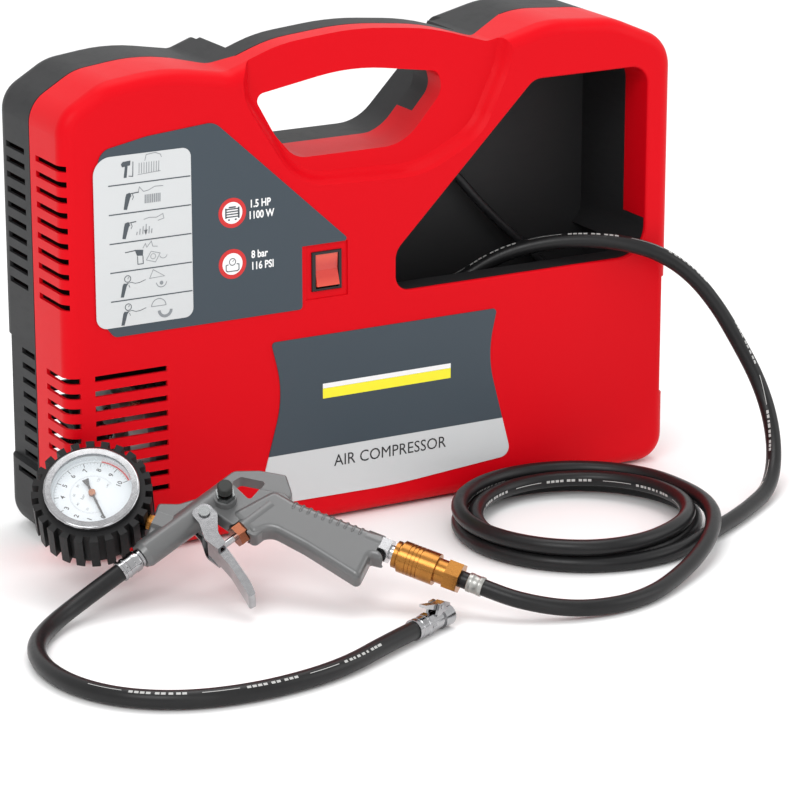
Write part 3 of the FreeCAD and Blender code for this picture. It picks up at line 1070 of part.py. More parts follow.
AIR_HOSE = [
    Vector(46, 0, 152), Vector(77, -1, 153), Vector(104, -8.5, 164), Vector(127, -20, 181),
    Vector(154, -35, 191.5), Vector(184, -53, 196), Vector(214, -71, 194), Vector(243, -82, 184),
    Vector(268, -90, 165), Vector(289, -97, 138), Vector(306, -103, 107), Vector(318, -114, 78),
    Vector(320.3, -129, 53), Vector(314, -147, 31.5), Vector(300, -167, 15.5), Vector(280, -187, 7.8),
    Vector(255, -204.5, 6.6), Vector(228, -222, 6.5), Vector(199, -238.5, 6.5), Vector(170, -254, 6.5),
]
AIR_HOSE_TAIL = [
    Vector(209, -176, 19.4), Vector(207, -208, 19.8), Vector(194, -242, 19.8), Vector(170, -273, 16.5),
    Vector(139, -299, 11.0), Vector(104, -321, 7.3), Vector(76, -336, 6.5), Vector(43, -343.5, 6.6),
    Vector(6, -338.5, 8.2),
]
INFLATOR_HOSE = [
    Vector(-341, -187, 7), Vector(-364, -217, 7), Vector(-374, -256, 7), Vector(-369, -298, 7),
    Vector(-348, -334, 7), Vector(-313, -358, 7), Vector(-268, -367, 7), Vector(-222, -363.5, 7),
    Vector(-183, -353, 7.3),
]


def coil_ring(centre, axis, inner, outer, base, top, corner):
    """Solid of the outer shape of a coil: a ring with softened edges, from base to top along its axis."""
    ring = Part.makeCylinder(outer, top - base, centre + axis * base, axis)
    ring = ring.cut(Part.makeCylinder(inner, top - base, centre + axis * base, axis))
    rims = [edge for edge in ring.Edges if edge.Length > 6 * inner - 10 and edge.Curve.TypeId == "Part::GeomCircle"]
    return ring.makeFillet(corner, rims)


def build_air_hoses():
    up = Vector(0, 0, 1)
    ring = coil_ring(COIL_CENTRE, up, COIL_IN_R, COIL_OUT_R, COIL_BASE, COIL_BASE + COIL_HEIGHT + 0.5, 5.5)
    save("air_hose_coil", ring)
    cord_tube("air_hose", AIR_HOSE, AIR_HOSE_D)

    way = GUN.Rotation.multVec(INLET_WAY)
    end = gun_point(*along_inlet(COUPLER_END)[:2])
    tail_end = end + way * FERRULE_LONG
    near_end = tail_end + way * 30.0
    cord_tube("air_hose_tail", AIR_HOSE_TAIL + [near_end, tail_end], AIR_HOSE_D)

    barrel_way = GUN.Rotation.multVec(Vector(-1, 0, 0))
    ferrule_end = gun_point(-24.0, BARREL_Y)
    first = ferrule_end + barrel_way * 40.0
    last = CHUCK_START - CHUCK_WAY * 36.0
    cord_tube("inflator_hose", [ferrule_end, first] + INFLATOR_HOSE + [last, CHUCK_START], SHORT_HOSE_D)

    ferrules = [
        tube(end, tail_end, AIR_HOSE_D / 2 + 1.6, 4.0),
        rod(gun_point(-4.0, BARREL_Y), ferrule_end, SHORT_HOSE_D / 2 + 1.2),
        tube(CHUCK_START, CHUCK_START + CHUCK_WAY * 14, SHORT_HOSE_D / 2 + 1.2, 3.0),
    ]
    save("hose_ferrules", Part.makeCompound(ferrules))


CHUCK_START = Vector(-116.0, -321.0, 8.6)
CHUCK_WAY = Vector(0.906, 0.423, 0.0).normalize()
CHUCK_BORE = 4.2
CHUCK_TIP = 42.0


def build_chuck():
    side = Vector(0, 0, 1).cross(CHUCK_WAY)
    up = Vector(0, 0, 1)

    def at(s, w=0.0, h=0.0):
        return CHUCK_START + CHUCK_WAY * s + side * w + up * h

    body = fuse([rod(at(14), at(34), 7.0), rod(at(31), at(CHUCK_TIP), 8.2), hexagon(at(14), at(19), 14.5)])
    lugs = []
    for w in (-5.2, 3.2):
        plate = [at(22, w, 4), at(36, w, 4), at(32, w, 13.5), at(26, w, 13.5)]
        lugs.append(Part.Face(Part.makePolygon(plate + [plate[0]])).extrude(side * 2.0))
    body = body.multiFuse(lugs)
    body = body.cut(rod(at(30), at(CHUCK_TIP + 1), CHUCK_BORE)).cut(rod(at(10), at(31), 2.0))
    body = body.cut(rod(at(29, -8, 10.5), at(29, 8, 10.5), 1.5 + RUN))
    slot = [at(36, -3.2, 3.0), at(43, -3.2, 3.0), at(43, -3.2, 14), at(36, -3.2, 14)]
    body = body.cut(Part.Face(Part.makePolygon(slot + [slot[0]])).extrude(side * 6.4))
    save("chuck_body", body)

    outline = [at(12, -2.9, 16), at(12, -2.9, 13.5), at(25, -2.9, 8.6), at(33, -2.9, 8.8), at(39.5, -2.9, 7.5),
               at(39.5, -2.9, 4.6), at(41.8, -2.9, 4.6), at(41.8, -2.9, 9.5), at(34, -2.9, 13), at(26, -2.9, 13)]
    clip = Part.Face(Part.makePolygon(outline + [outline[0]])).extrude(side * 5.8)
    clip = clip.fuse(rod(at(29, -5.6, 10.5), at(29, 5.6, 10.5), 1.5))
    save("chuck_clip", clip)


# ---------------------------------------------------------------- mains lead
LEAD_COIL_CENTRE = Vector(189.0, 17.0, POCKET[2] + LEAD_COIL_OUT_R + 0.7)
PLUG_FACE = Vector(84.0, 17.0, 64.0)
PLUG_R = 19.0
PLUG_PIN_R = 2.4
PLUG_PIN_PITCH = 19.0
PLUG_PIN_LONG = 19.0
NECK_R = 4.2
MAINS_LEAD = [
    Vector(138, 25.5, 215), Vector(162, 25, 191), Vector(186, 24.3, 169), Vector(208, 24.3, 146.5),
    Vector(225, 24.5, 121), Vector(233.5, 24.6, 95),
]


def build_mains_lead():
    outside = GLAND + SLOPE * LINER
    gland = fuse([
        rod(GLAND - SLOPE * 3.0, outside + SLOPE * 9.0, GLAND_R),
        rod(GLAND - SLOPE * 3.0, GLAND, 9.0),
        hexagon(outside, outside + SLOPE * 5.0, 17.0),
        cone(GLAND - SLOPE * GLAND_TAIL, GLAND - SLOPE * 3.0, 5.0, 6.6),
    ])
    save("cable_gland", gland)
    start = GLAND - SLOPE * GLAND_TAIL
    cord_tube("mains_lead", [start, start - SLOPE * 24.0] + MAINS_LEAD, LEAD_D)
    half = LEAD_COIL_THICK / 2.0
    ring = coil_ring(LEAD_COIL_CENTRE, Vector(0, 1, 0), LEAD_COIL_IN_R, LEAD_COIL_OUT_R, -half, half, 3.5)
    save("mains_lead_coil", ring)

    bottom = LEAD_COIL_CENTRE - Vector(8.0, 0, LEAD_COIL_OUT_R - LEAD_D / 2)
    along = Vector(1, 0, 0)
    path = soft_path([bottom, bottom - along * 30, PLUG_FACE + along * 46, PLUG_FACE + along * 26])[0]
    neck = round_along(path, bottom, along, NECK_R)
    parts = [
        neck,
        rod(PLUG_FACE, PLUG_FACE + along * 16, PLUG_R),
        cone(PLUG_FACE + along * 16, PLUG_FACE + along * 34, PLUG_R - 2, 6.0),
    ]
    for side in (-1, 1):
        root = PLUG_FACE + Vector(0, side * PLUG_PIN_PITCH / 2, 0)
        parts.append(rod(root, root - along * PLUG_PIN_LONG, PLUG_PIN_R))
    plug = fuse(parts)
    socket = rod(PLUG_FACE - along + Vector(0, 0, 10.5), PLUG_FACE + along * 10 + Vector(0, 0, 10.5), 2.3)
    save("mains_plug", plug.cut(socket))


build_shells()
build_feet_and_screws()
build_compartment()
build_plates()
build_switch()
build_motor()
build_pump()
build_inflator()
build_air_hoses()
build_chuck()
build_mains_lead()
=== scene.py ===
"""Looks of a suitcase air compressor with its air hose, tyre inflator and mains lead."""
import math

import bpy
import bmesh
import numpy as np
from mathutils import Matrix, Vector


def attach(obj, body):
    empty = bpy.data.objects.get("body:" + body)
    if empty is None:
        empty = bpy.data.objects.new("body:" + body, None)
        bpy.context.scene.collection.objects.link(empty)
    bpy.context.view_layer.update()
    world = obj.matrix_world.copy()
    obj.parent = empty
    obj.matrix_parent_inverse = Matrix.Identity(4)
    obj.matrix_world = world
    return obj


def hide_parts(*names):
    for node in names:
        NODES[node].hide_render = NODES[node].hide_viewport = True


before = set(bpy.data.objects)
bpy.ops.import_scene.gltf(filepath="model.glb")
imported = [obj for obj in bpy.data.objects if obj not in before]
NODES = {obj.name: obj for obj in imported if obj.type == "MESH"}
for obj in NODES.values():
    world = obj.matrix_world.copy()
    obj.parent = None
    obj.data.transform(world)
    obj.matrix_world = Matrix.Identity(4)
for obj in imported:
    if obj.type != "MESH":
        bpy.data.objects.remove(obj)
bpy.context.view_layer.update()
MM = 0.001
PLATE_FACE = -0.0628                # front faces of the panel and the label
STICKER_FACE = -0.0632              # front face of the chart

# ------------------------------------------------------------------ camera
CAMERA_PLACE = (-1.3105, -2.4569, 0.9478)
CAMERA_DOWN, CAMERA_TURN = 17.4, -29.0      # degrees below level, and round the vertical
camera_data = bpy.data.cameras.new("camera")
camera = bpy.data.objects.new("camera", camera_data)
bpy.context.scene.collection.objects.link(camera)
camera_data.sensor_width = 36.0
camera_data.lens = 165.2
camera.location = CAMERA_PLACE
camera.rotation_euler = (math.radians(90.0 - CAMERA_DOWN), 0.0, math.radians(CAMERA_TURN))
camera_data.clip_end = 50.0
bpy.context.scene.camera = camera


# ------------------------------------------------------------------ shader sockets
class Shade:
    """A value in a material's node tree; the arithmetic operators add Math nodes."""

    def __init__(self, tree, socket):
        self.tree = tree
        self.socket = socket

    def math(self, operation, *others, clamp=False):
        return add_node(self.tree, "ShaderNodeMath", dict(enumerate((self, *others))),
                        operation=operation, use_clamp=clamp)

    def __add__(self, other):
        return self.math("ADD", other)

    __radd__ = __add__

    def __sub__(self, other):
        return self.math("SUBTRACT", other)

    def __rsub__(self, other):
        return add_node(self.tree, "ShaderNodeMath", {0: other, 1: self}, operation="SUBTRACT")

    def __mul__(self, other):
        return self.math("MULTIPLY", other)

    __rmul__ = __mul__

    def above(self, edge, soft):
        """1 above the edge and 0 below, over a ramp of the soft width."""
        return ((self - (edge - soft / 2)) * (1.0 / soft)).math("ADD", 0.0, clamp=True)

    def size(self):
        return self.math("ABSOLUTE")


def plug(tree, socket, value):
    """Link a Shade, or set a plain value."""
    if isinstance(value, Shade):
        tree.links.new(value.socket, socket)
    else:
        socket.default_value = value


def add_node(tree, kind, sockets=None, out=0, **settings):
    """Any node: first its settings, then its inputs by index or name; the result is its output out."""
    made = tree.nodes.new(kind)
    for name, value in settings.items():
        setattr(made, name, value)
    for key, value in (sockets or {}).items():
        plug(tree, made.inputs[key], value)
    return Shade(tree, made.outputs[out])


class Finish:
    """One material: a Principled shader and helpers for its pattern inputs."""

    FACTOR, FIRST, SECOND, RESULT = 0, 6, 7, 2      # sockets of a Mix node that mixes colours
    EDGE_GAIN = 6.0

    def __init__(self, name, colour, roughness, metallic=0.0, **constants):
        self.material = bpy.data.materials.new(name)
        self.material.use_nodes = True
        self.tree = self.material.node_tree
        self.shader = self.tree.nodes["Principled BSDF"]
        self.set("Base Color", (*colour, 1.0))
        self.set("Roughness", roughness)
        self.set("Metallic", metallic)
        for key, value in constants.items():
            self.set(key.replace("_", " "), value)
        self.material.diffuse_color = (*colour, 1.0)

    def set(self, socket, value):
        plug(self.tree, self.shader.inputs[socket], value)

    def place(self):
        """Object coordinates as a vector."""
        return add_node(self.tree, "ShaderNodeTexCoord", out="Object")

    def height(self):
        """Height of a point of the piece, in metres."""
        return add_node(self.tree, "ShaderNodeSeparateXYZ", {0: self.place()}, out="Z")

    def distance(self, centre):
        """Distance of a point of the piece from a fixed place, in metres."""
        return add_node(self.tree, "ShaderNodeVectorMath", {0: self.place(), 1: tuple(centre)}, out="Value",
                        operation="DISTANCE")

    def noise(self, scale, detail, rough, stretch=None):
        """Noise from 0 to 1, scale cells to the metre; stretch multiplies the coordinates of each axis."""
        vector = self.place()
        if stretch:
            vector = add_node(self.tree, "ShaderNodeMapping", {"Vector": vector, "Scale": stretch},
                              vector_type="POINT")
        return add_node(self.tree, "ShaderNodeTexNoise",
                        {"Vector": vector, "Scale": scale, "Detail": detail, "Roughness": rough},
                        noise_dimensions="3D")

    def mix(self, factor, first, second, blend="MIX"):
        """Blend of two colours, or their product when blend is MULTIPLY and factor 1."""
        sockets = {self.FACTOR: factor}
        for key, colour in ((self.FIRST, first), (self.SECOND, second)):
            sockets[key] = colour if isinstance(colour, Shade) else (*colour, 1.0)
        return add_node(self.tree, "ShaderNodeMix", sockets, self.RESULT, data_type="RGBA", blend_type=blend)

    def bump(self, height, strength, depth, base=None):
        sockets = {"Strength": strength, "Distance": depth, "Height": height}
        if base is not None:
            sockets["Normal"] = base
        return add_node(self.tree, "ShaderNodeBump", sockets)

    def edges(self, reach):
        """0 on flats, rising on edges: how far a bevelled normal leaves the true one."""
        bevel = add_node(self.tree, "ShaderNodeBevel", {"Radius": reach}, samples=4)
        normal = add_node(self.tree, "ShaderNodeNewGeometry", out="Normal")
        match = add_node(self.tree, "ShaderNodeVectorMath", {0: bevel, 1: normal}, out="Value",
                         operation="DOT_PRODUCT")
        return (1.0 - match) * self.EDGE_GAIN


def scaled(colour, factor, lift=0.0):
    """Colour with each part multiplied and raised."""
    return tuple(part * factor + lift for part in colour)


def moulded(name, colour, roughness, grain=0.35, grain_size=1800.0, scuff=0.25, shine=0.35):
    """Moulded plastic: spark-eroded grain, broad waviness and faint handling marks in the gloss."""
    made = Finish(name, colour, roughness, Specular_IOR_Level=shine)
    grain_height = made.noise(grain_size, 2.0, 0.6)
    broad = made.noise(9.0, 2.0, 0.5)
    marks = made.noise(60.0, 4.0, 0.7, stretch=(1.0, 1.0, 3.5))
    smear = marks.above(0.60, 0.25)
    made.set("Base Color", made.mix(broad * 0.35 + smear * 0.12 * scuff, colour, scaled(colour, 0.82, 0.004)))
    made.set("Roughness", roughness + (broad - 0.5) * 0.10 + smear * 0.14 * scuff)
    waves = made.bump(broad, 0.12, 0.004)
    made.set("Normal", made.bump(grain_height, grain, 0.00008, waves))
    return made.material


def rubbery(name, colour, roughness=0.62, grain=0.5):
    """Rubber: dull, slightly mottled and finely pitted."""
    made = Finish(name, colour, roughness, Specular_IOR_Level=0.22)
    cloud = made.noise(40.0, 4.0, 0.6)
    dust = made.noise(320.0, 3.0, 0.7).above(0.62, 0.2)
    made.set("Base Color", made.mix(cloud * 0.5 + dust * 0.15, colour, scaled(colour, 1.9, 0.006)))
    made.set("Roughness", roughness + (cloud - 0.5) * 0.2 + dust * 0.1)
    made.set("Normal", made.bump(made.noise(1500.0, 3.0, 0.6), grain, 0.00008))
    return made.material


def turned_metal(name, colour, roughness, wear=0.3, scratch=(1.0, 1.0, 14.0), dark=0.6, drag=0.16):
    """Bright metal: fine drawn scratches, soft smudges and slight tarnish in patches."""
    made = Finish(name, colour, roughness, 1.0)
    drawn = made.noise(220.0, 4.0, 0.7, stretch=scratch)
    smudge = made.noise(45.0, 4.0, 0.6)
    tarnish = smudge.above(0.56, 0.3) * wear
    made.set("Base Color", made.mix(tarnish, colour, scaled(colour, dark)))
    made.set("Roughness", roughness + (drawn - 0.5) * 0.16 + tarnish * 0.12)
    made.set("Normal", made.bump(drawn, drag, 0.00005))
    return made.material


def cast_metal(name, colour, roughness, metallic=1.0, grain=0.5, size=900.0):
    """Die-cast metal: fine sandy skin, in broad patches a little darker and rougher."""
    made = Finish(name, colour, roughness, metallic)
    skin = made.noise(size, 4.0, 0.65)
    flow = made.noise(24.0, 3.0, 0.5)
    made.set("Base Color", made.mix(flow * 0.5, colour, scaled(colour, 0.8)))
    made.set("Roughness", roughness + (skin - 0.5) * 0.2 + (flow - 0.5) * 0.12)
    made.set("Normal", made.bump(skin, grain, 0.0001, made.bump(flow, 0.1, 0.002)))
    return made.material


# ------------------------------------------------------------------ places shared with the solids
SPIN = math.radians
GAUGE = np.array([-268.0, -110.0, 67.0]) * MM           # middle of the gauge, origin of the inflator


def turn_about(axis, degrees):
    """Rotation matrix about a main axis."""
    c, s = math.cos(SPIN(degrees)), math.sin(SPIN(degrees))
    a, b = [(1, 2), (2, 0), (0, 1)]["XYZ".index(axis)]
    matrix = np.eye(3)
    matrix[a, a] = matrix[b, b] = c
    matrix[a, b], matrix[b, a] = -s, s
    return matrix


GUN_YAW, GUN_TILT, GUN_TURN = -29.0, 38.0, 42.0         # which way the dial faces, leans and is turned
GUN = turn_about("Z", GUN_YAW) @ turn_about("X", GUN_TILT) @ turn_about("Z", GUN_TURN)


def gun(x, y, z=0.0):
    """Point of the inflator, in millimetres along its barrel, up and out of its dial."""
    return GAUGE + GUN @ (np.array([x, y, z]) * MM)


STEM = np.array([0.4384, -0.8988, 0.0])                 # from the gauge to its stem, on the inflator
DIAL_UP = GUN @ -STEM
DIAL_RIGHT = GUN @ np.array([0.8988, 0.4384, 0.0])
DIAL_OUT = GUN @ np.array([0.0, 0.0, 1.0])
DIAL_FACE = 0.0108
DIAL_PLANE = (GAUGE + DIAL_OUT * DIAL_FACE, DIAL_RIGHT, DIAL_UP)
POINTER_HUB = 0.0137
INLET = np.array([129.3, -167.7, 0.0])                  # where the air enters the grip
INLET_WAY = np.array([0.402, -0.9156, 0.0])
BARREL_Y = -60.0
VALVE_NUT = (62.0, -93.0)
RIBS_FROM = np.array([110.1, -103.3, 0.0])              # line of the hollows in the grip's back
RIBS_TO = np.array([131.4, -152.8, 0.0])
RIB_COUNT = 9
ROCKER_MIDDLE = 0.2032
LABEL_SPLIT = 0.0612                                    # height where the label turns from silver to slate
CHUCK = np.array([-116.0, -321.0, 8.6]) * MM            # end of the short hose
CHUCK_WAY = np.array([0.906, 0.423, 0.0]) / math.hypot(0.906, 0.423)


def along_inlet(distance):
    """Point on the line of the coupler, in millimetres from the inlet."""
    return gun(*(INLET + INLET_WAY * distance))


# ------------------------------------------------------------------ cords
def cord_curve(name, points, diameter):
    """Round cord: one NURBS spline whose control points are the route, or its bare line at diameter 0.

    The tube's radius is bevel_depth times the radius of the spline's points.
    """
    data = bpy.data.curves.new(name, "CURVE")
    data.dimensions = "3D"
    data.bevel_depth = 1.0 if diameter else 0.0
    data.bevel_resolution = 6
    data.resolution_u = 8
    data.use_fill_caps = True
    spline = data.splines.new("NURBS")
    spline.points.add(len(points) - 1)
    spline.points.foreach_set("co", np.c_[points, np.ones(len(points))].ravel())
    spline.points.foreach_set("radius", np.full(len(points), diameter / 2 if diameter else 1.0))
    spline.order_u = 3
    spline.use_endpoint_u = True
    piece = bpy.data.objects.new(name, data)
    bpy.context.scene.collection.objects.link(piece)
    return piece


def ease(value, start, end):
    """0 before start, 1 after end and a smooth S between."""
    share = np.clip((value - start) / (end - start), 0.0, 1.0)
    return share * share * (3 - 2 * share)


# a quadratic spline runs this much inside the corners of a sixteen-sided turn
INSIDE = 0.981

AIR_HOSE_D = 12.5
AIR_HOSE_IN = [
    (46, 0, 152), (77, -1, 153), (104, -8.5, 164), (127, -20, 181), (154, -35, 191.5), (184, -53, 196),
    (214, -71, 194), (243, -82, 184), (268, -90, 165), (289, -97, 138), (306, -103, 107), (318, -114, 78),
    (320.3, -129, 53), (314, -147, 31.5), (300, -167, 15.5), (280, -187, 7.8), (255, -204.5, 6.6),
    (228, -222, 6.5), (199, -238.5, 6.5), (170, -254, 6.5),
]
AIR_HOSE_OUT = [
    (209, -176, 19.4), (207, -208, 19.8), (194, -242, 19.8), (170, -273, 16.5), (139, -299, 11),
    (104, -321, 7.3), (76, -336, 6.5), (43, -343.5, 6.6), (6, -338.5, 8.2),
]
# clockwise turns seen from above: outer column on the floor, then a rise up the inner column,
# then out over the first turn; swept is the angle from where the hose meets the coil
COIL_X, COIL_Y, COIL_R = 115, -175, 94.7
COIL_START = -55.0
COLUMN, LAYER, LYING = 12.7, 12.6, 6.5      # one column inward, one layer up, height of a lying hose's line
swept = np.linspace(20.0, 1003.0, 45)
radius = COIL_R - COLUMN * ease(swept, 300, 362) + COLUMN * ease(swept, 722, 790)
height = LYING + LAYER * np.clip((swept - 362) / 360, 0, 1)
angle = np.radians(COIL_START - swept)
turns = np.c_[COIL_X + radius / INSIDE * np.cos(angle), COIL_Y + radius / INSIDE * np.sin(angle), height]
HOSE_END = 84.0                             # from the inlet to the end of the coupler's tail
hose_end = along_inlet(HOSE_END)
hose_way = GUN @ INLET_WAY
air_route = np.vstack([np.array(AIR_HOSE_IN) * MM, turns * MM, np.array(AIR_HOSE_OUT) * MM,
                       hose_end + hose_way * 0.030, hose_end, along_inlet(67.0)])
air_hose = cord_curve("air_hose_run", air_route, AIR_HOSE_D * MM)

SHORT_HOSE_D = 13.5
SHORT_HOSE = [
    (-341, -187, 7), (-364, -217, 7), (-374, -256, 7), (-369, -298, 7), (-348, -334, 7), (-313, -358, 7),
    (-268, -367, 7), (-222, -363.5, 7), (-183, -353, 7.3),
]
barrel_mouth = gun(-24.0, BARREL_Y)
short_route = np.vstack([barrel_mouth, barrel_mouth - GUN[:, 0] * 0.040, np.array(SHORT_HOSE) * MM,
                         CHUCK - CHUCK_WAY * 0.036, CHUCK])
short_hose = cord_curve("inflator_hose_run", short_route, SHORT_HOSE_D * MM)

LEAD_D = 7.5
GLAND = np.array([80.789, 26.0, 276.5])
SLOPE = np.array([-0.70565, 0.0, 0.70856])  # out of the wall that holds the gland
LEAD = [
    (138, 25.5, 215), (162, 25, 191), (186, 24.3, 169), (208, 24.3, 146.5), (225, 24.5, 121),
    (233.5, 24.6, 95),
]
PLUG_NECK = (181.0, 17.0, 48.45)
# five turns of two columns and three layers in the storage pocket, ending in the plug's neck
POCKET_X, POCKET_Z, POCKET_R, POCKET_DEPTH = 189, 94.7, 45.9, 24.6
STEP = 7.6                                  # from one turn to its neighbour
swept = np.linspace(22.0, 1877.0, 84)
radius = POCKET_R - STEP * ease(swept, 320, 375) + STEP * ease(swept, 1280, 1335)
depth = (POCKET_DEPTH - STEP * ease(swept, 640, 700) - STEP * ease(swept, 960, 1020)
         + STEP * ease(swept, 1600, 1660))
angle = np.radians(-swept)
turns = np.c_[POCKET_X + radius / INSIDE * np.cos(angle), depth, POCKET_Z + radius / INSIDE * np.sin(angle)]
gland_tip = GLAND - SLOPE * 26.0
lead_route = np.vstack([gland_tip, gland_tip - SLOPE * 24.0, LEAD, turns, PLUG_NECK]) * MM
mains_lead = cord_curve("mains_lead_run", lead_route, LEAD_D * MM)

for piece, solids, body_slot in (
        (air_hose, ("air_hose", "air_hose_coil", "air_hose_tail"), "hose_rubber"),
        (short_hose, ("inflator_hose",), "hose_rubber"),
        (mains_lead, ("mains_lead", "mains_lead_coil"), "lead_rubber")):
    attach(piece, "compressor")
    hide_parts(*solids)


# ------------------------------------------------------------------ mesh pieces
def mesh_piece(name, vertices, faces, material, smooth=True):
    """New piece at the origin, its place in its mesh, that rides on the case's body."""
    data = bpy.data.meshes.new(name)
    data.from_pydata(np.asarray(vertices, float).tolist(), [], [list(map(int, face)) for face in faces])
    data.validate()
    data.materials.append(material)
    data.polygons.foreach_set("use_smooth", np.full(len(data.polygons), smooth))
    piece = bpy.data.objects.new(name, data)
    bpy.context.scene.collection.objects.link(piece)
    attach(piece, "compressor")
    return piece


SHARPEST_MITRE = 0.4                        # cosine at which a band's corners stop growing


class Print:
    """Thin printed shapes on a plane: origin, two directions and how far they stand off it."""

    def __init__(self, plane, lift):
        self.origin, self.right, self.up = plane
        self.out = np.cross(self.right, self.up)
        self.lift = lift
        self.vertices = []
        self.faces = []

    def spread(self, flat):
        """Plane coordinates in millimetres to points."""
        x, y = (np.asarray(flat, float) * MM).T
        return self.origin + np.outer(x, self.right) + np.outer(y, self.up) + self.out * self.lift

    def shape(self, outline):
        """Filled outline, counter-clockwise."""
        start = len(self.vertices)
        outline = np.asarray(outline, float)
        x, y = outline.T
        if np.sum(x * np.roll(y, -1) - np.roll(x, -1) * y) < 0:
            outline = outline[::-1]
        self.vertices += list(self.spread(outline))
        self.faces.append(range(start, start + len(outline)))

    def line(self, points, width, closed=False):
        """Band of the given width along points, its corners mitred by the mean of both sides."""
        points = np.asarray(points, float)
        ahead = np.roll(points, -1, 0) - points
        if not closed:
            ahead[-1] = ahead[-2]
        ahead /= np.linalg.norm(ahead, axis=1)[:, None]
        mean = ahead + np.roll(ahead, 1, 0)
        if not closed:
            mean[0] = ahead[0]
        mean /= np.linalg.norm(mean, axis=1)[:, None]
        side = np.c_[-mean[:, 1], mean[:, 0]]
        side /= np.maximum(SHARPEST_MITRE, np.sum(mean * ahead, axis=1))[:, None]
        edge = np.vstack([points - side * width / 2, points + side * width / 2])
        start, count = len(self.vertices), len(points)
        self.vertices += list(self.spread(edge))
        steps = count if closed else count - 1
        for a in range(steps):
            b = (a + 1) % count
            self.faces.append((start + a, start + b, start + count + b, start + count + a))

    def ring(self, centre, radius, width, start=0.0, end=360.0):
        """Part of a ring, in degrees from the right."""
        closed = end - start >= 360.0
        steps = max(8, int(abs(end - start) / 7.5))
        turn = np.radians(np.linspace(start, end, steps, endpoint=not closed))
        self.line(np.c_[centre[0] + radius * np.cos(turn), centre[1] + radius * np.sin(turn)], width, closed)

    def disc(self, centre, radius):
        """Filled circle."""
        turn = np.linspace(0, 2 * math.pi, 40, endpoint=False)
        self.shape(np.c_[centre[0] + radius * np.cos(turn), centre[1] + radius * np.sin(turn)])

    def block(self, x0, x1, y0, y1):
        """Rectangle."""
        self.shape([(x0, y0), (x1, y0), (x1, y1), (x0, y1)])

    def words(self, text, centre, size, weight=0.0, wide=1.0):
        """Characters of the plain built-in face, centred, made a mesh before they are placed."""
        data = bpy.data.curves.new("letters", "FONT")
        data.body = text
        data.align_x = "CENTER"
        data.align_y = "CENTER"
        data.size = size
        data.offset = weight
        data.resolution_u = 3
        holder = bpy.data.objects.new("letters", data)
        mesh = bpy.data.meshes.new_from_object(holder)
        flat = np.zeros(len(mesh.vertices) * 3)
        mesh.vertices.foreach_get("co", flat)
        start = len(self.vertices)
        self.vertices += list(self.spread(flat.reshape(-1, 3)[:, :2] * (wide, 1.0) + centre))
        self.faces += [[start + v for v in face.vertices] for face in mesh.polygons]
        bpy.data.objects.remove(holder)
        bpy.data.curves.remove(data)
        bpy.data.meshes.remove(mesh)

    def finish(self, name, material, slot):
        """Make the piece, its faces turned outward."""
        piece = mesh_piece(name, self.vertices, self.faces, material, smooth=False)
        mesh = piece.data
        normal = np.zeros(len(mesh.polygons) * 3)
        mesh.polygons.foreach_get("normal", normal)
        if np.sum(normal.reshape(-1, 3) @ self.out) < 0:
            mesh.flip_normals()


SHARP = SPIN(32)


def turned_piece(name, start, way, profile, material, steps, ribs=None):
    """Ferrule as a surface of revolution: (distance along, radius) in millimetres, closed at both ends.

    Every ring is start + way * distance + radius * (side cos a + other sin a); ribs is (count, depth,
    from, to): between those distances the radius falls by depth * (0.5 - 0.5 cos(count * a)).
    """
    way = np.asarray(way, float) / np.linalg.norm(way)
    side = np.cross(way, (0.0, 0.0, 1.0))
    side /= np.linalg.norm(side)
    other = np.cross(way, side)
    profile = np.asarray(profile, float)
    turn = np.linspace(0, 2 * math.pi, steps, endpoint=False)
    radius = np.repeat(profile[:, 1:2], steps, 1)
    if ribs:
        count, depth, low, high = ribs
        inside = (profile[:, 0] >= low) & (profile[:, 0] <= high)
        radius[inside] -= depth * (0.5 - 0.5 * np.cos(count * turn))
    rings = (start + np.multiply.outer(profile[:, 0] * MM, way)[:, None, :]
             + radius[..., None] * MM * (np.outer(np.cos(turn), side) + np.outer(np.sin(turn), other)))
    vertices = rings.reshape(-1, 3)
    count = len(profile)
    faces = []
    for row in range(count - 1):
        a = row * steps + np.arange(steps)
        b = row * steps + (np.arange(steps) + 1) % steps
        faces += list(np.c_[a, b, b + steps, a + steps])
    faces.append(np.arange(steps)[::-1])
    faces.append((count - 1) * steps + np.arange(steps))
    piece = mesh_piece(name, vertices, faces, material)
    mesh = piece.data
    shell = bmesh.new()
    shell.from_mesh(mesh)
    bmesh.ops.recalc_face_normals(shell, faces=shell.faces)
    for edge in shell.edges:
        edge.smooth = len(edge.link_faces) == 2 and edge.calc_face_angle(0) < SHARP
    shell.to_mesh(mesh)
    shell.free()
    return piece


# ------------------------------------------------------------------ finishes
RED = (0.63, 0.0003, 0.0062)
case_red = moulded("case red plastic", RED, 0.40, 0.22, 2200.0, 0.2, 0.09)
case_grey = moulded("case grey plastic", (0.024, 0.0245, 0.0255), 0.50, 0.45, 1500.0, 0.4, 0.16)
liner_plastic = moulded("compartment plastic", (0.014, 0.014, 0.015), 0.55, 0.5, 1400.0, 0.5)
bezel_plastic = moulded("switch housing plastic", (0.012, 0.012, 0.013), 0.38, 0.2, 1800.0, 0.2)
fan_plastic = moulded("fan plastic", (0.03, 0.03, 0.032), 0.5, 0.3, 1200.0, 0.3)
knob_plastic = moulded("bleed knob plastic", (0.02, 0.022, 0.02), 0.42, 0.25, 1500.0, 0.4)
gland_plastic = moulded("gland plastic", (0.018, 0.018, 0.019), 0.5, 0.3, 1500.0, 0.3)
carbon_block = moulded("brush carbon", (0.03, 0.03, 0.031), 0.6, 0.6, 900.0, 0.6)

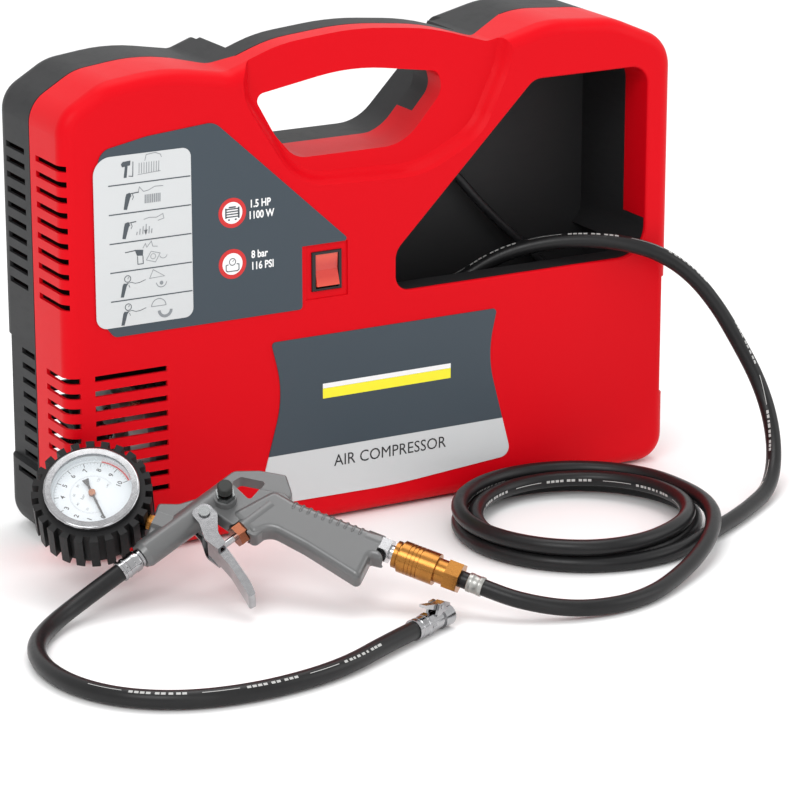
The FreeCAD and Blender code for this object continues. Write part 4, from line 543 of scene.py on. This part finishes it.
foot_rubber = rubbery("foot rubber", (0.012, 0.012, 0.012))
mount_rubber = rubbery("mount rubber", (0.014, 0.014, 0.014))
boot_rubber = rubbery("gauge boot rubber", (0.0060, 0.0060, 0.0064), 0.48, 0.35)
plug_rubber = rubbery("plug rubber", (0.012, 0.012, 0.013), 0.5)

zinc = turned_metal("zinc plated steel", (0.40, 0.40, 0.38), 0.34, 0.4)
bright = turned_metal("bright steel", (0.50, 0.50, 0.51), 0.16, 0.3)
chrome = turned_metal("chrome plate", (0.42, 0.42, 0.43), 0.085, 0.5, (1.0, 1.0, 3.0), 0.35, 0.05)
brass = turned_metal("brass", (0.40, 0.175, 0.042), 0.25, 0.5, (1.0, 1.0, 9.0), 0.6)
copper = turned_metal("copper", (0.86, 0.42, 0.26), 0.24, 0.6, (1.0, 1.0, 6.0), 0.6)
lamination = turned_metal("laminated steel", (0.30, 0.31, 0.33), 0.42, 0.6, (14.0, 1.0, 1.0))
casting = cast_metal("cast aluminium", (0.60, 0.61, 0.62), 0.44)
iron = cast_metal("cast iron", (0.22, 0.22, 0.23), 0.52, 0.9, 0.7, 700.0)


def gun_paint():
    """Silver-grey enamel on the die-cast inflator, worn a little bright on its edges."""
    grey = (0.118, 0.120, 0.121)
    made = Finish("inflator enamel", grey, 0.36, 0.35, Coat_Weight=0.25, Coat_Roughness=0.22)
    flake = made.noise(2600.0, 2.0, 0.6)
    cloud = made.noise(26.0, 3.0, 0.55)
    worn = made.edges(0.0009).above(0.55, 0.5) * made.noise(180.0, 3.0, 0.7).above(0.55, 0.2)
    tint = made.mix(cloud * 0.35 + flake * 0.12, grey, (0.155, 0.157, 0.158))
    made.set("Base Color", made.mix(worn * 0.5, tint, (0.34, 0.34, 0.34)))
    made.set("Roughness", 0.34 + (cloud - 0.5) * 0.14 + (flake - 0.5) * 0.05)
    made.set("Normal", made.bump(cloud, 0.14, 0.0012, made.bump(made.noise(620.0, 2.0, 0.5), 0.10, 0.0001)))
    return made.material


def hose_rubber(name, colour, pitch=0.0009):
    """Smooth extruded cover: faint cloth-wrap marks round it, slight sheen, dust and rubs."""
    made = Finish(name, colour, 0.34, Specular_IOR_Level=0.28)
    cloud = made.noise(70.0, 4.0, 0.6)
    rub = made.noise(420.0, 4.0, 0.75).above(0.60, 0.2)
    made.set("Base Color", made.mix(cloud * 0.5 + rub * 0.10, colour, scaled(colour, 2.0, 0.004)))
    made.set("Roughness", 0.34 + (cloud - 0.5) * 0.16 + rub * 0.12)
    wrap = made.noise(1.0 / pitch, 2.0, 0.5)
    made.set("Normal", made.bump(wrap, 0.10, 0.00006, made.bump(cloud, 0.10, 0.0006)))
    return made.material


def printed(name, colour, roughness=0.42):
    """Screen-printed ink: nearly flat colour, faintly uneven with small pinholes of gloss."""
    made = Finish(name, colour, roughness)
    grain = made.noise(900.0, 3.0, 0.6)
    cloud = made.noise(30.0, 2.0, 0.5)
    made.set("Base Color", made.mix(grain * 0.12 + cloud * 0.10, colour, scaled(colour, 0.86, 0.004)))
    made.set("Roughness", roughness + (grain - 0.5) * 0.12)
    made.set("Normal", made.bump(grain, 0.06, 0.00003))
    return made.material


def plate_film(name, lower, splits=()):
    """Satin film on a plate: a base colour and, for each split, the colour above that height."""
    made = Finish(name, lower, 0.40, Specular_IOR_Level=0.3)
    grain = made.noise(1400.0, 2.0, 0.5)
    cloud = made.noise(14.0, 2.0, 0.5)
    height = made.height()
    colour = lower
    for at, above in splits:
        colour = made.mix(height.above(at, 0.0002), colour, above)
    shade = made.mix(cloud * 0.16 + grain * 0.06, (1.0, 1.0, 1.0), (0.78, 0.79, 0.81))
    made.set("Base Color", made.mix(1.0, colour, shade, "MULTIPLY"))
    made.set("Roughness", 0.38 + (cloud - 0.5) * 0.10 + (grain - 0.5) * 0.06)
    made.set("Normal", made.bump(grain, 0.10, 0.00004))
    return made.material


def clear_finish(name, colour, alpha, roughness):
    """Clear pane: mostly see-through, with a faint haze of fine wipe marks."""
    made = Finish(name, colour, roughness)
    wipe = made.noise(90.0, 4.0, 0.7, stretch=(1.0, 6.0, 1.0))
    made.set("Alpha", alpha + wipe.above(0.62, 0.3) * 0.03)
    made.set("Roughness", roughness + wipe * 0.04)
    made.set("Normal", made.bump(made.noise(12.0, 2.0, 0.5), 0.05, 0.0005))
    return made.material


def rocker_finish():
    """Translucent orange-red rocker, glossy from use, with painted light making it lighter where it is thin
    and a faint painted glow.
    """
    red = (0.47, 0.016, 0.009)
    # the faint emission, in the rocker's own colour, is a painted glow
    made = Finish("rocker plastic", red, 0.22, Coat_Weight=0.5, Coat_Roughness=0.1, Emission_Strength=0.10)
    cloud = made.noise(140.0, 3.0, 0.6)
    # painted light: lighter more than about 8 mm above or below the middle, as if light shone through the
    # thin plastic
    thin = (made.height() - ROCKER_MIDDLE).size().above(0.0085, 0.008)
    colour = made.mix(thin * 0.45 + cloud * 0.15, red, (0.74, 0.10, 0.045))
    made.set("Base Color", colour)
    made.set("Emission Color", colour)
    made.set("Roughness", 0.20 + cloud * 0.10)
    made.set("Normal", made.bump(made.noise(600.0, 2.0, 0.5), 0.08, 0.00005))
    return made.material


def dial_finish():
    """White enamelled dial, slightly cool, with a faint printed sheen and a shaded rim."""
    white = (0.70, 0.745, 0.775)
    made = Finish("dial enamel", white, 0.36)
    grain = made.noise(1200.0, 2.0, 0.5)
    cloud = made.noise(40.0, 2.0, 0.5)
    shade = made.distance(GAUGE).above(0.0305, 0.003)
    made.set("Base Color", made.mix(shade * 0.35 + cloud * 0.08, white, (0.55, 0.58, 0.60)))
    made.set("Roughness", 0.34 + (grain - 0.5) * 0.10)
    made.set("Normal", made.bump(grain, 0.05, 0.00003))
    return made.material


def pointer_finish():
    """Black lacquered needle with a copper-coloured hub."""
    black = (0.012, 0.012, 0.013)
    made = Finish("pointer lacquer", black, 0.32)
    hub = 1.0 - made.distance(GAUGE + DIAL_OUT * POINTER_HUB).above(0.0030, 0.0002)
    brushed = made.noise(500.0, 3.0, 0.6)
    lacquer = made.mix(brushed * 0.3, black, (0.03, 0.03, 0.03))
    made.set("Base Color", made.mix(hub, lacquer, (0.30, 0.12, 0.055)))
    made.set("Metallic", hub)
    made.set("Roughness", 0.26 + brushed * 0.14)
    made.set("Normal", made.bump(brushed, 0.06, 0.00004))
    return made.material


def copper_nut_finish():
    """Steel pins, with the valve nut in front of the grip left in copper."""
    made = Finish("inflator hardware", (0.62, 0.62, 0.63), 0.2, 1.0)
    nut = 1.0 - made.distance(gun(*VALVE_NUT)).above(0.0125, 0.0003)
    drawn = made.noise(260.0, 4.0, 0.7, stretch=(1.0, 1.0, 8.0))
    colour = made.mix(nut, (0.26, 0.27, 0.27), (0.34, 0.12, 0.065))
    shade = made.mix(drawn * 0.4, (1.0, 1.0, 1.0), (0.6, 0.6, 0.6))
    made.set("Base Color", made.mix(1.0, colour, shade, "MULTIPLY"))
    made.set("Roughness", 0.18 + drawn * 0.12)
    made.set("Normal", made.bump(drawn, 0.10, 0.00004))
    return made.material


SLATE = (0.044, 0.060, 0.075)
SILVER = (0.58, 0.595, 0.60)
panel_film = plate_film("panel film", SLATE)
label_film = plate_film("label film", SILVER, ((LABEL_SPLIT, SLATE),))
sticker_film = plate_film("sticker film", SILVER)
white_ink = printed("white ink", (0.82, 0.82, 0.82))
yellow_ink = printed("yellow ink", (0.86, 0.78, 0.02))
red_ink = printed("red ink", (0.56, 0.012, 0.012))
slate_ink = printed("slate ink", (0.055, 0.068, 0.08))
grey_ink = printed("grey ink", (0.22, 0.235, 0.25))
black_ink = printed("black ink", (0.012, 0.012, 0.014))
green_ink = printed("green ink", (0.10, 0.34, 0.12))
hose_ink = printed("hose marking ink", (0.42, 0.42, 0.41), 0.5)
inflator_enamel = gun_paint()
air_hose_cover = hose_rubber("air hose cover", (0.0062, 0.0062, 0.0066))
lead_cover = hose_rubber("mains lead cover", (0.013, 0.013, 0.014), 0.0006)
rocker_red = rocker_finish()
dial_white = dial_finish()
dial_lens = clear_finish("dial glass", (0.97, 0.985, 0.99), 0.06, 0.03)
pointer_black = pointer_finish()
gun_steel = copper_nut_finish()

FINISHES = {
    case_red: "front_shell",
    case_grey: "rear_shell",
    foot_rubber: "rubber_feet",
    liner_plastic: "hose_compartment",
    panel_film: "control_panel",
    sticker_film: "use_chart_sticker",
    label_film: "name_label",
    bezel_plastic: "switch_bezel air_filter",
    rocker_red: "switch_rocker",
    carbon_block: "brush_gear",
    zinc: "case_screws head_bolts motor_base",
    bright: "motor_shaft shaft_bearings wrist_pin valve_plate valve_plunger coupler_nipple chuck_clip",
    lamination: "motor_field armature",
    copper: "field_coils pressure_tube",
    fan_plastic: "cooling_fan",
    iron: "crank_disc",
    casting: "motor_bracket crankcase crankcase_cover connecting_rod piston cylinder cylinder_head",
    brass: "safety_valve hose_fitting gauge_movement coupler_body coupler_sleeve",
    mount_rubber: "rubber_mounts",
    inflator_enamel: "inflator_body",
    chrome: "inflator_trigger gauge_case gauge_rim hose_ferrules chuck_body",
    gun_steel: "gun_hardware",
    knob_plastic: "bleed_button",
    boot_rubber: "gauge_boot",
    dial_white: "gauge_dial",
    dial_lens: "gauge_lens",
    pointer_black: "gauge_pointer",
    gland_plastic: "cable_gland",
    plug_rubber: "mains_plug",
}
for finish, names in FINISHES.items():
    for name in names.split():
        piece = NODES[name]
        piece.data.materials.clear()
        piece.data.materials.append(finish)
air_hose.data.materials.append(air_hose_cover)
short_hose.data.materials.append(air_hose_cover)
mains_lead.data.materials.append(lead_cover)


# ------------------------------------------------------------------ ridges of the grip
GRIP_HALF = 9.0                             # half the grip's thickness
GRIP_ROUND = 5.0                            # radius of its edges
GRIP_BACK = 1.14                            # from the line of the hollows to the grip's back
RIDGE_HALF, RIDGE_HIGH, RIDGE_BASE = 1.1, 0.9, 0.1      # half width, height above its middle, middle sunk by
RIDGE_END = 1.1                             # how far the ends are sunk
RIDGE_SIDES = 12


def grip_ridges():
    """Ridges between the hollows in the grip's back, carried round its edges.

    Each is a closed ring of (along + RIDGE_HALF cos t, RIDGE_HIGH sin t - sink) swept over the rounded back:
    from one side 8.5 mm in, round a corner, across, and down the other side; the deeper sink at its two
    ends buries them.
    """
    way = (RIBS_TO - RIBS_FROM) / np.linalg.norm(RIBS_TO - RIBS_FROM)
    out = np.array([-way[1], way[0], 0.0])
    first = RIBS_FROM - out * GRIP_BACK
    flat = GRIP_HALF - GRIP_ROUND
    bend = np.radians(np.linspace(90.0, 0.0, 9))
    half = [(-8.5, GRIP_HALF, 0.0, 1.0), (-6.8, GRIP_HALF, 0.0, 1.0)]
    half += [(-GRIP_ROUND + GRIP_ROUND * c, flat + GRIP_ROUND * s, c, s)
             for c, s in zip(np.cos(bend), np.sin(bend))]
    route = np.array(half + [(x, -z, a, -b) for x, z, a, b in half[::-1]])
    sink = np.full(len(route), RIDGE_BASE)
    sink[[0, -1]] = RIDGE_END
    turn = np.linspace(0, 2 * math.pi, RIDGE_SIDES, endpoint=False)
    rise = RIDGE_HIGH * np.sin(turn)[None, :] - sink[:, None]
    across = route[:, 0, None] + route[:, 2, None] * rise
    height = route[:, 1, None] + route[:, 3, None] * rise
    vertices, faces = [], []
    for index in range(RIB_COUNT + 1):
        middle = first + (RIBS_TO - RIBS_FROM) * index / RIB_COUNT
        start = len(vertices)
        for row in range(len(route)):
            for t in range(RIDGE_SIDES):
                place = middle + way * RIDGE_HALF * math.cos(turn[t]) + out * across[row, t]
                vertices.append(gun(place[0], place[1], height[row, t]))
        for base in range(start, len(vertices) - RIDGE_SIDES, RIDGE_SIDES):
            for t in range(RIDGE_SIDES):
                a, b = base + t, base + (t + 1) % RIDGE_SIDES
                faces.append((a, a + RIDGE_SIDES, b + RIDGE_SIDES, b))
        faces.append(range(start, start + RIDGE_SIDES))
        faces.append(range(len(vertices) - 1, len(vertices) - 1 - RIDGE_SIDES, -1))
    mesh_piece("grip_ridges", vertices, faces, inflator_enamel)


grip_ridges()


# ------------------------------------------------------------------ printing on the case
def on_front(face):
    """Plane across the front of the case, at a depth."""
    return (np.array([0.0, face, 0.0]), np.array([1.0, 0.0, 0.0]), np.array([0.0, 0.0, 1.0]))


INK = 0.00012                               # how far printing stands off its plate
CHART_LEFT, CHART_RIGHT = -228.6, -161.6
ROWS = [303.0, 280.6, 258.5, 236.4, 214.3, 192.6]       # middles of the chart's rows
chart = Print(on_front(STICKER_FACE), INK)
for z in (291.6, 269.5, 247.4, 225.3, 203.2):
    chart.line([(CHART_LEFT, z), (CHART_RIGHT, z)], 0.9)


def blow_gun(z, x=-213.0, nozzle=9.0):
    """Pistol grip, body, trigger and nozzle, as the tool of a row."""
    chart.shape([(x - 3.6, z - 8.2), (x - 0.9, z - 8.6), (x + 1.9, z + 0.2), (x + 3.0, z + 1.6),
                 (x + 1.6, z + 4.2), (x - 1.2, z + 3.4), (x - 2.0, z + 0.8)])
    chart.line([(x + 1.6, z + 3.2), (x + nozzle, z + 3.8)], 0.8)
    chart.line([(x + 3.8, z + 2.8), (x + 4.6, z + 0.6), (x + 3.6, z - 1.4)], 0.5)


def inflator_icon(z):
    """Grip with a round gauge and a hose that runs to the right."""
    x = -217.0
    chart.shape([(x - 3.6, z - 8.6), (x - 1.0, z - 8.8), (x + 1.6, z - 0.2), (x + 2.8, z + 1.2),
                 (x - 0.8, z + 1.8), (x - 1.8, z + 0.2)])
    chart.ring((x + 2.4, z + 5.0), 2.5, 0.6)
    chart.line([(x + 2.4, z + 5.0), (x + 3.4, z + 6.4)], 0.4)
    chart.line([(x + 1.6, z + 1.6), (x + 5.5, z + 2.0), (x + 8.5, z + 0.8), (x + 12.0, z + 1.0),
                (x + 17.0, z + 2.6)], 0.45)
    chart.line([(x + 3.2, z + 0.4), (x + 4.0, z - 1.8)], 0.45)


z = ROWS[0]
chart.shape([(-217.2, z + 1.6), (-210.6, z + 2.4), (-210.2, z + 6.0), (-216.4, z + 5.6), (-218.0, z + 4.0)])
chart.shape([(-216.0, z - 6.6), (-213.6, z - 6.6), (-212.6, z + 2.0), (-214.8, z + 2.0)])
chart.line([(-208.2, z + 5.0), (-208.6, z - 6.2), (-212.0, z - 5.6)], 0.6)
blow_gun(ROWS[1])
blow_gun(ROWS[2], -214.6, 8.0)
z = ROWS[3]
chart.shape([(-206.6, z - 0.4), (-201.8, z - 0.8), (-201.4, z + 3.6), (-208.4, z + 4.4)])
chart.line([(-216.2, z + 3.2), (-208.0, z + 3.8)], 0.7)
chart.line([(-206.2, z - 0.8), (-206.0, z - 7.0), (-201.6, z - 7.0), (-201.8, z - 0.8)], 0.6)
inflator_icon(ROWS[4])
inflator_icon(ROWS[5])
chart.finish("sticker_tool_icons", slate_ink, "sticker")

fine = Print(on_front(STICKER_FACE), INK)
z = ROWS[0]
for x in np.arange(-203.5, -187.4, 2.0):
    fine.line([(x, z - 4.6), (x + 0.3, z + 3.4)], 0.5)
fine.line([(-204.6, z - 5.4), (-186.0, z - 4.4)], 0.4)
fine.line([(-198.6, z + 4.6), (-197.4, z + 9.0), (-190.0, z + 9.8), (-185.8, z + 8.0),
           (-185.0, z + 5.8)], 0.5)
z = ROWS[1]
for x in np.arange(-199.0, -186.0, 1.5):
    fine.line([(x, z - 5.4), (x + 0.2, z + 1.2)], 0.9)
fine.line([(-204.6, z + 3.6), (-203.4, z + 7.6), (-200.2, z + 3.8), (-196.0, z + 4.4), (-191.0, z + 6.6),
           (-184.0, z + 6.4)], 0.5)
z = ROWS[2]
for x, tall in ((-206.5, 2.5), (-204.0, 4.5), (-201.5, 6.0), (-199.0, 7.5), (-196.5, 5.5), (-194.4, 3.5)):
    fine.line([(x, z - 6.6), (x + 0.5, z - 6.6 + tall)], 0.7)
fine.shape([(-200.6, z - 3.4), (-197.4, z - 3.4), (-199.0, z - 7.6)])
fine.line([(-200.5, z + 4.6), (-196.0, z + 5.6), (-190.0, z + 5.0), (-184.8, z + 7.2), (-184.0, z + 3.6),
           (-189.0, z + 2.4)], 0.5)
z = ROWS[3]
fine.line([(-199.0, z - 4.6), (-191.6, z - 7.0), (-187.6, z - 0.6), (-195.0, z + 1.6)], 0.45, closed=True)
fine.ring((-193.4, z - 2.4), 2.0, 0.4)
fine.ring((-185.0, z - 1.6), 3.2, 0.45, 200, 340)
fine.line([(-201.6, z + 4.8), (-199.6, z + 8.2), (-198.4, z + 5.2), (-194.6, z + 9.4), (-193.6, z + 5.4),
           (-189.6, z + 4.8)], 0.5)
z = ROWS[4]
fine.line([(-196.6, z + 3.0), (-193.6, z + 9.4), (-184.4, z + 3.4)], 0.5, closed=True)
fine.ring((-187.0, z - 0.6), 4.2, 0.6, 185, 355)
fine.disc((-187.0, z - 1.6), 1.5)
z = ROWS[5]
fine.ring((-189.6, z + 2.2), 6.0, 0.6, 5, 175)
fine.line([(-195.8, z + 2.6), (-183.4, z + 2.6)], 0.5)
fine.ring((-184.4, z - 1.0), 5.0, 2.3, 182, 358)
fine.finish("sticker_job_icons", grey_ink, "sticker")

rings = Print(on_front(PLATE_FACE), INK)
RATINGS = ((-127.2, 258.8), (-127.6, 219.2))
for centre in RATINGS:
    rings.ring(centre, 10.0, 3.2)
rings.finish("rating_rings", red_ink, "panel_slate")
whites = Print(on_front(PLATE_FACE), INK * 0.9)
for centre in RATINGS:
    whites.disc(centre, 8.6)
for text, centre in (("1.5 HP", (-103.8, 263.6)), ("1100 W", (-103.0, 254.8)), ("8 bar", (-104.8, 224.2)),
                     ("116 PSI", (-102.4, 215.2))):
    whites.words(text, centre, 8.2, 0.24, 0.80)
whites.finish("rating_whites", white_ink, "panel_slate")
marks = Print(on_front(PLATE_FACE), INK * 1.3)
x, z = RATINGS[0]
for step in (-3.0, -1.0, 1.0, 3.0):
    marks.line([(x - 5.2, z + step), (x + 5.2, z + step)], 1.0)
marks.line([(x - 5.4, z - 4.0), (x - 5.4, z + 4.0)], 1.2)
marks.line([(x + 5.4, z - 4.4), (x + 5.4, z + 4.2)], 1.4)
marks.line([(x - 3.0, z + 4.4), (x + 3.0, z + 4.4)], 1.2)
marks.line([(x - 3.6, z - 5.2), (x - 2.0, z - 5.2)], 1.2)
marks.line([(x + 2.0, z - 5.2), (x + 3.6, z - 5.2)], 1.2)
x, z = RATINGS[1]
marks.ring((x, z + 1.6), 2.6, 0.7)
marks.line([(x - 5.4, z - 0.6), (x - 5.4, z - 4.6), (x - 4.2, z - 5.6), (x + 4.2, z - 5.6),
            (x + 5.4, z - 4.6), (x + 5.4, z - 0.6), (x + 3.4, z - 0.2)], 0.8)
marks.line([(x - 5.4, z - 0.6), (x - 3.4, z - 0.2)], 0.8)
marks.line([(x, z + 1.6), (x + 1.2, z + 3.0)], 0.5)
marks.finish("rating_marks", slate_ink, "panel_slate")

STRIPE_LEFT, STRIPE_RIGHT = -51.5, 62.0
for name, ink, low, high in (("label_white_stripe", white_ink, 109.6, 113.4),
                             ("label_yellow_stripe", yellow_ink, 101.4, 109.5)):
    stripe = Print(on_front(PLATE_FACE), INK)
    stripe.block(STRIPE_LEFT, STRIPE_RIGHT, low, high)
    stripe.finish(name, ink, "label")
title = Print(on_front(PLATE_FACE), INK)
title.words("AIR COMPRESSOR", (8.0, 49.0), 13.2, 0.0, 0.94)
title.finish("label_title", black_ink, "label")


# ------------------------------------------------------------------ dial printing
DIAL_INK, BAND_INK = 0.00010, 0.00006
BARS = 10                                   # full scale
PSI_IN_SCALE, LAST_PSI = 145.0, 140
POINTER_REST = -107.0                       # angle of the scale's zero on the inflator
SCALE_SWEEP = 270.0
dial = Print(DIAL_PLANE, DIAL_INK)
fine = Print(DIAL_PLANE, DIAL_INK)


def dial_angle(share):
    """Angle in the dial's own directions of a share of the scale, clockwise from its zero."""
    turn = SPIN(POINTER_REST - SCALE_SWEEP * share)
    way = GUN @ np.array([math.cos(turn), math.sin(turn), 0.0])
    return math.atan2(way @ DIAL_UP, way @ DIAL_RIGHT)


def dial_point(share, reach):
    """Point of the dial at a share of the scale and a distance from its middle."""
    turn = dial_angle(share)
    return (reach * math.cos(turn), reach * math.sin(turn))


for number in range(BARS + 1):
    share = number / BARS
    dial.line([dial_point(share, 24.6), dial_point(share, 28.0)], 0.55)
    dial.words(str(number), dial_point(share, 21.6), 5.2, 0.10)
for tick in range(BARS * 5 + 1):
    share = tick / (BARS * 5)
    fine.line([dial_point(share, 26.6), dial_point(share, 28.0)], 0.22)
for tick in range(0, LAST_PSI + 1, 2):
    share = tick / PSI_IN_SCALE
    fine.line([dial_point(share, 15.6), dial_point(share, 16.8)], 0.20)
for number in range(0, LAST_PSI + 1, 20):
    fine.words(str(number), dial_point(number / PSI_IN_SCALE, 13.2), 2.5, 0.02)
fine.line([dial_point(share, 28.1) for share in np.linspace(0, 1, 60)], 0.25)
fine.words("bar", (-4.6, 5.4), 3.4, 0.03)
fine.words("psi", (-4.6, -5.6), 3.0, 0.02)
dial.finish("dial_numbers", black_ink, "dial_face")
fine.finish("dial_fine_scale", grey_ink, "dial_face")
for name, ink, low, high in (("dial_red_band", red_ink, 0.8, 1.0),
                             ("dial_green_band", green_ink, 0.15, 0.35)):
    band = Print(DIAL_PLANE, BAND_INK)
    band.line([dial_point(share, 29.2) for share in np.linspace(low, high, 16)], 1.2)
    band.finish(name, ink, "dial_face")


# ------------------------------------------------------------------ hose ferrules and markings
CLIP_PROFILE = [
    (74, 6.3), (74, 7.0), (74.4, 7.25), (77, 7.3), (77.4, 7.05), (82.2, 7.05), (82.6, 7.3), (85.4, 7.25),
    (85.8, 7.0), (85.8, 6.3),
]
BARREL_PROFILE = [
    (0, 3.0), (0, 6.4), (0.5, 6.9), (2.6, 6.9), (2.9, 6.0), (4.0, 6.0), (4.3, 7.7), (4.9, 7.9), (8.4, 7.9),
    (8.9, 7.55), (13.6, 7.55), (14.0, 7.9), (15.2, 7.9), (15.6, 7.5), (17.6, 7.5), (18.0, 7.9), (19.6, 7.9),
    (20.0, 7.6), (20.0, 6.5),
]
CHUCK_PROFILE = [
    (0.0, 6.5), (0.0, 7.6), (0.4, 7.9), (2.4, 7.9), (2.8, 7.5), (4.6, 7.5), (5.0, 7.9), (6.2, 7.9),
    (6.6, 7.55), (11.6, 7.55), (12.0, 7.9), (13.6, 7.9), (14.0, 7.4), (14.0, 3.2),
]
CRIMPS, CRIMP_DEPTH = 12, 0.28
hose_clip = turned_piece("air_hose_clip_band", hose_end, hose_way * -1.0,
                         [(-(s - HOSE_END), r) for s, r in CLIP_PROFILE], zinc, 72)
barrel_root = gun(-4.0, BARREL_Y)
barrel_ferrule = turned_piece("inflator_hose_ferrule", barrel_root, barrel_mouth - barrel_root,
                              BARREL_PROFILE, chrome, 96, (CRIMPS, CRIMP_DEPTH, 9.5, 13.2))
chuck_ferrule = turned_piece("chuck_ferrule", CHUCK, CHUCK_WAY, CHUCK_PROFILE, chrome, 96,
                             (CRIMPS, CRIMP_DEPTH, 7.0, 11.2))
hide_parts("hose_ferrules")
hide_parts("hose_ferrules")
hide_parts("hose_ferrules")


MARK_PITCH = 0.001                          # points along a hose's line: one a millimetre
LAST_CLEAR = 20                             # points without marks at a hose's end


def centre_line(route):
    """Points and unit directions along a route's own spline, about a millimetre apart."""
    thin = cord_curve("line", route, 0.0)
    mesh = bpy.data.meshes.new_from_object(thin)
    flat = np.zeros(len(mesh.vertices) * 3)
    mesh.vertices.foreach_get("co", flat)
    data = thin.data
    bpy.data.objects.remove(thin)
    bpy.data.curves.remove(data)
    bpy.data.meshes.remove(mesh)
    points = flat.reshape(-1, 3)
    steps = np.r_[0, np.cumsum(np.linalg.norm(np.diff(points, axis=0), axis=1))]
    at = np.arange(0.0, steps[-1], MARK_PITCH)
    points = np.c_[[np.interp(at, steps, points[:, k]) for k in range(3)]].T
    ways = np.gradient(points, axis=0)
    return points, ways / np.linalg.norm(ways, axis=1)[:, None]


def marking(name, route, diameter, start, dashes, turn, twist):
    """Printed line of dashes and blocks on a hose: bands that lie on its skin at one angle round it.

    A band's edge is centre + (radius + lift) * (up cos b + side sin b), where up is square to the line and
    nearest to the vertical, and b runs over the band's width; dashes are (gap, length, width) in millimetres.
    """
    points, ways = centre_line(route)
    side = np.cross(ways, (0.0, 0.0, 1.0))
    side /= np.linalg.norm(side, axis=1)[:, None]
    up = np.cross(side, ways)
    reach = diameter / 2 + INK
    vertices, faces = [], []
    at = start
    while True:
        for gap, long, width in dashes:
            at += gap
            if at + long >= len(points) - LAST_CLEAR:
                break
            span = np.linspace(at, at + long, max(2, int(long / 2.0) + 1))
            here = span.astype(int)
            centre_turn = SPIN(turn + twist * at)
            half = width / 2 / (diameter / 2 / MM)
            base = len(vertices)
            for b in (centre_turn - half, centre_turn + half):
                vertices.extend(points[here] + reach * (up[here] * math.cos(b) + side[here] * math.sin(b)))
            n = len(here)
            for k in range(n - 1):
                faces.append((base + k, base + n + k, base + n + k + 1, base + k + 1))
            at += long
        else:
            continue
        break
    return mesh_piece(name, vertices, faces, hose_ink)


MARKS = [
    (10, 26, 0.5), (5, 3.2, 1.9), (1.2, 3.0, 1.9), (1.2, 2.6, 1.9), (1.2, 3.2, 1.9), (2.6, 3.0, 1.9),
    (1.2, 2.8, 1.9), (2.6, 3.0, 1.9), (1.2, 3.0, 1.9), (1.2, 3.2, 1.9),
]
air_marks = marking("air_hose_markings", air_route, AIR_HOSE_D * MM, 30, MARKS, 10.0, 0.05)
short_marks = marking("inflator_hose_markings", short_route, SHORT_HOSE_D * MM, 200, MARKS, 15.0, 0.06)


# ------------------------------------------------------------------ floor and light
FLOOR_HALF, FLOOR_Z = 14, -0.0004
floor_data = bpy.data.meshes.new("floor")
corners = [(x * FLOOR_HALF, y * FLOOR_HALF, FLOOR_Z) for x, y in ((-1, -1), (1, -1), (1, 1), (-1, 1))]
floor_data.from_pydata(corners, [], [(0, 1, 2, 3)])
floor = bpy.data.objects.new("floor", floor_data)
bpy.context.scene.collection.objects.link(floor)
paper = Finish("studio floor", (0.92, 0.92, 0.92), 0.6, Specular_IOR_Level=0.1)
floor_data.materials.append(paper.material)

world = bpy.data.worlds.new("studio")
world.use_nodes = True
background = world.node_tree.nodes["Background"]
background.inputs["Color"].default_value = (1.0, 1.0, 1.0, 1.0)
background.inputs["Strength"].default_value = 0.92
bpy.context.scene.world = world


def soft_box(name, place, aim, size, power, tall=None):
    """Area light at a place, facing a point."""
    data = bpy.data.lights.new(name, "AREA")
    data.shape = "RECTANGLE"
    data.size = size
    data.size_y = tall or size
    data.energy = power
    lamp = bpy.data.objects.new(name, data)
    lamp.location = place
    way = Vector(aim) - Vector(place)
    lamp.rotation_euler = way.to_track_quat("-Z", "Y").to_euler()
    bpy.context.scene.collection.objects.link(lamp)


soft_box("key light", (-1.9, -1.8, 2.2), (0, 0, 0.15), 1.4, 34.0)
soft_box("fill light", (2.2, -1.6, 1.3), (0, 0, 0.15), 1.6, 12.0)
soft_box("top light", (0.2, 0.3, 2.4), (0, 0, 0.1), 1.6, 22.0)
soft_box("strip light", (-0.6, -2.6, 0.9), (-0.1, -0.2, 0.05), 0.5, 5.0, 1.6)
bpy.context.scene.view_settings.view_transform = "Standard"

bpy.context.view_layer.update()
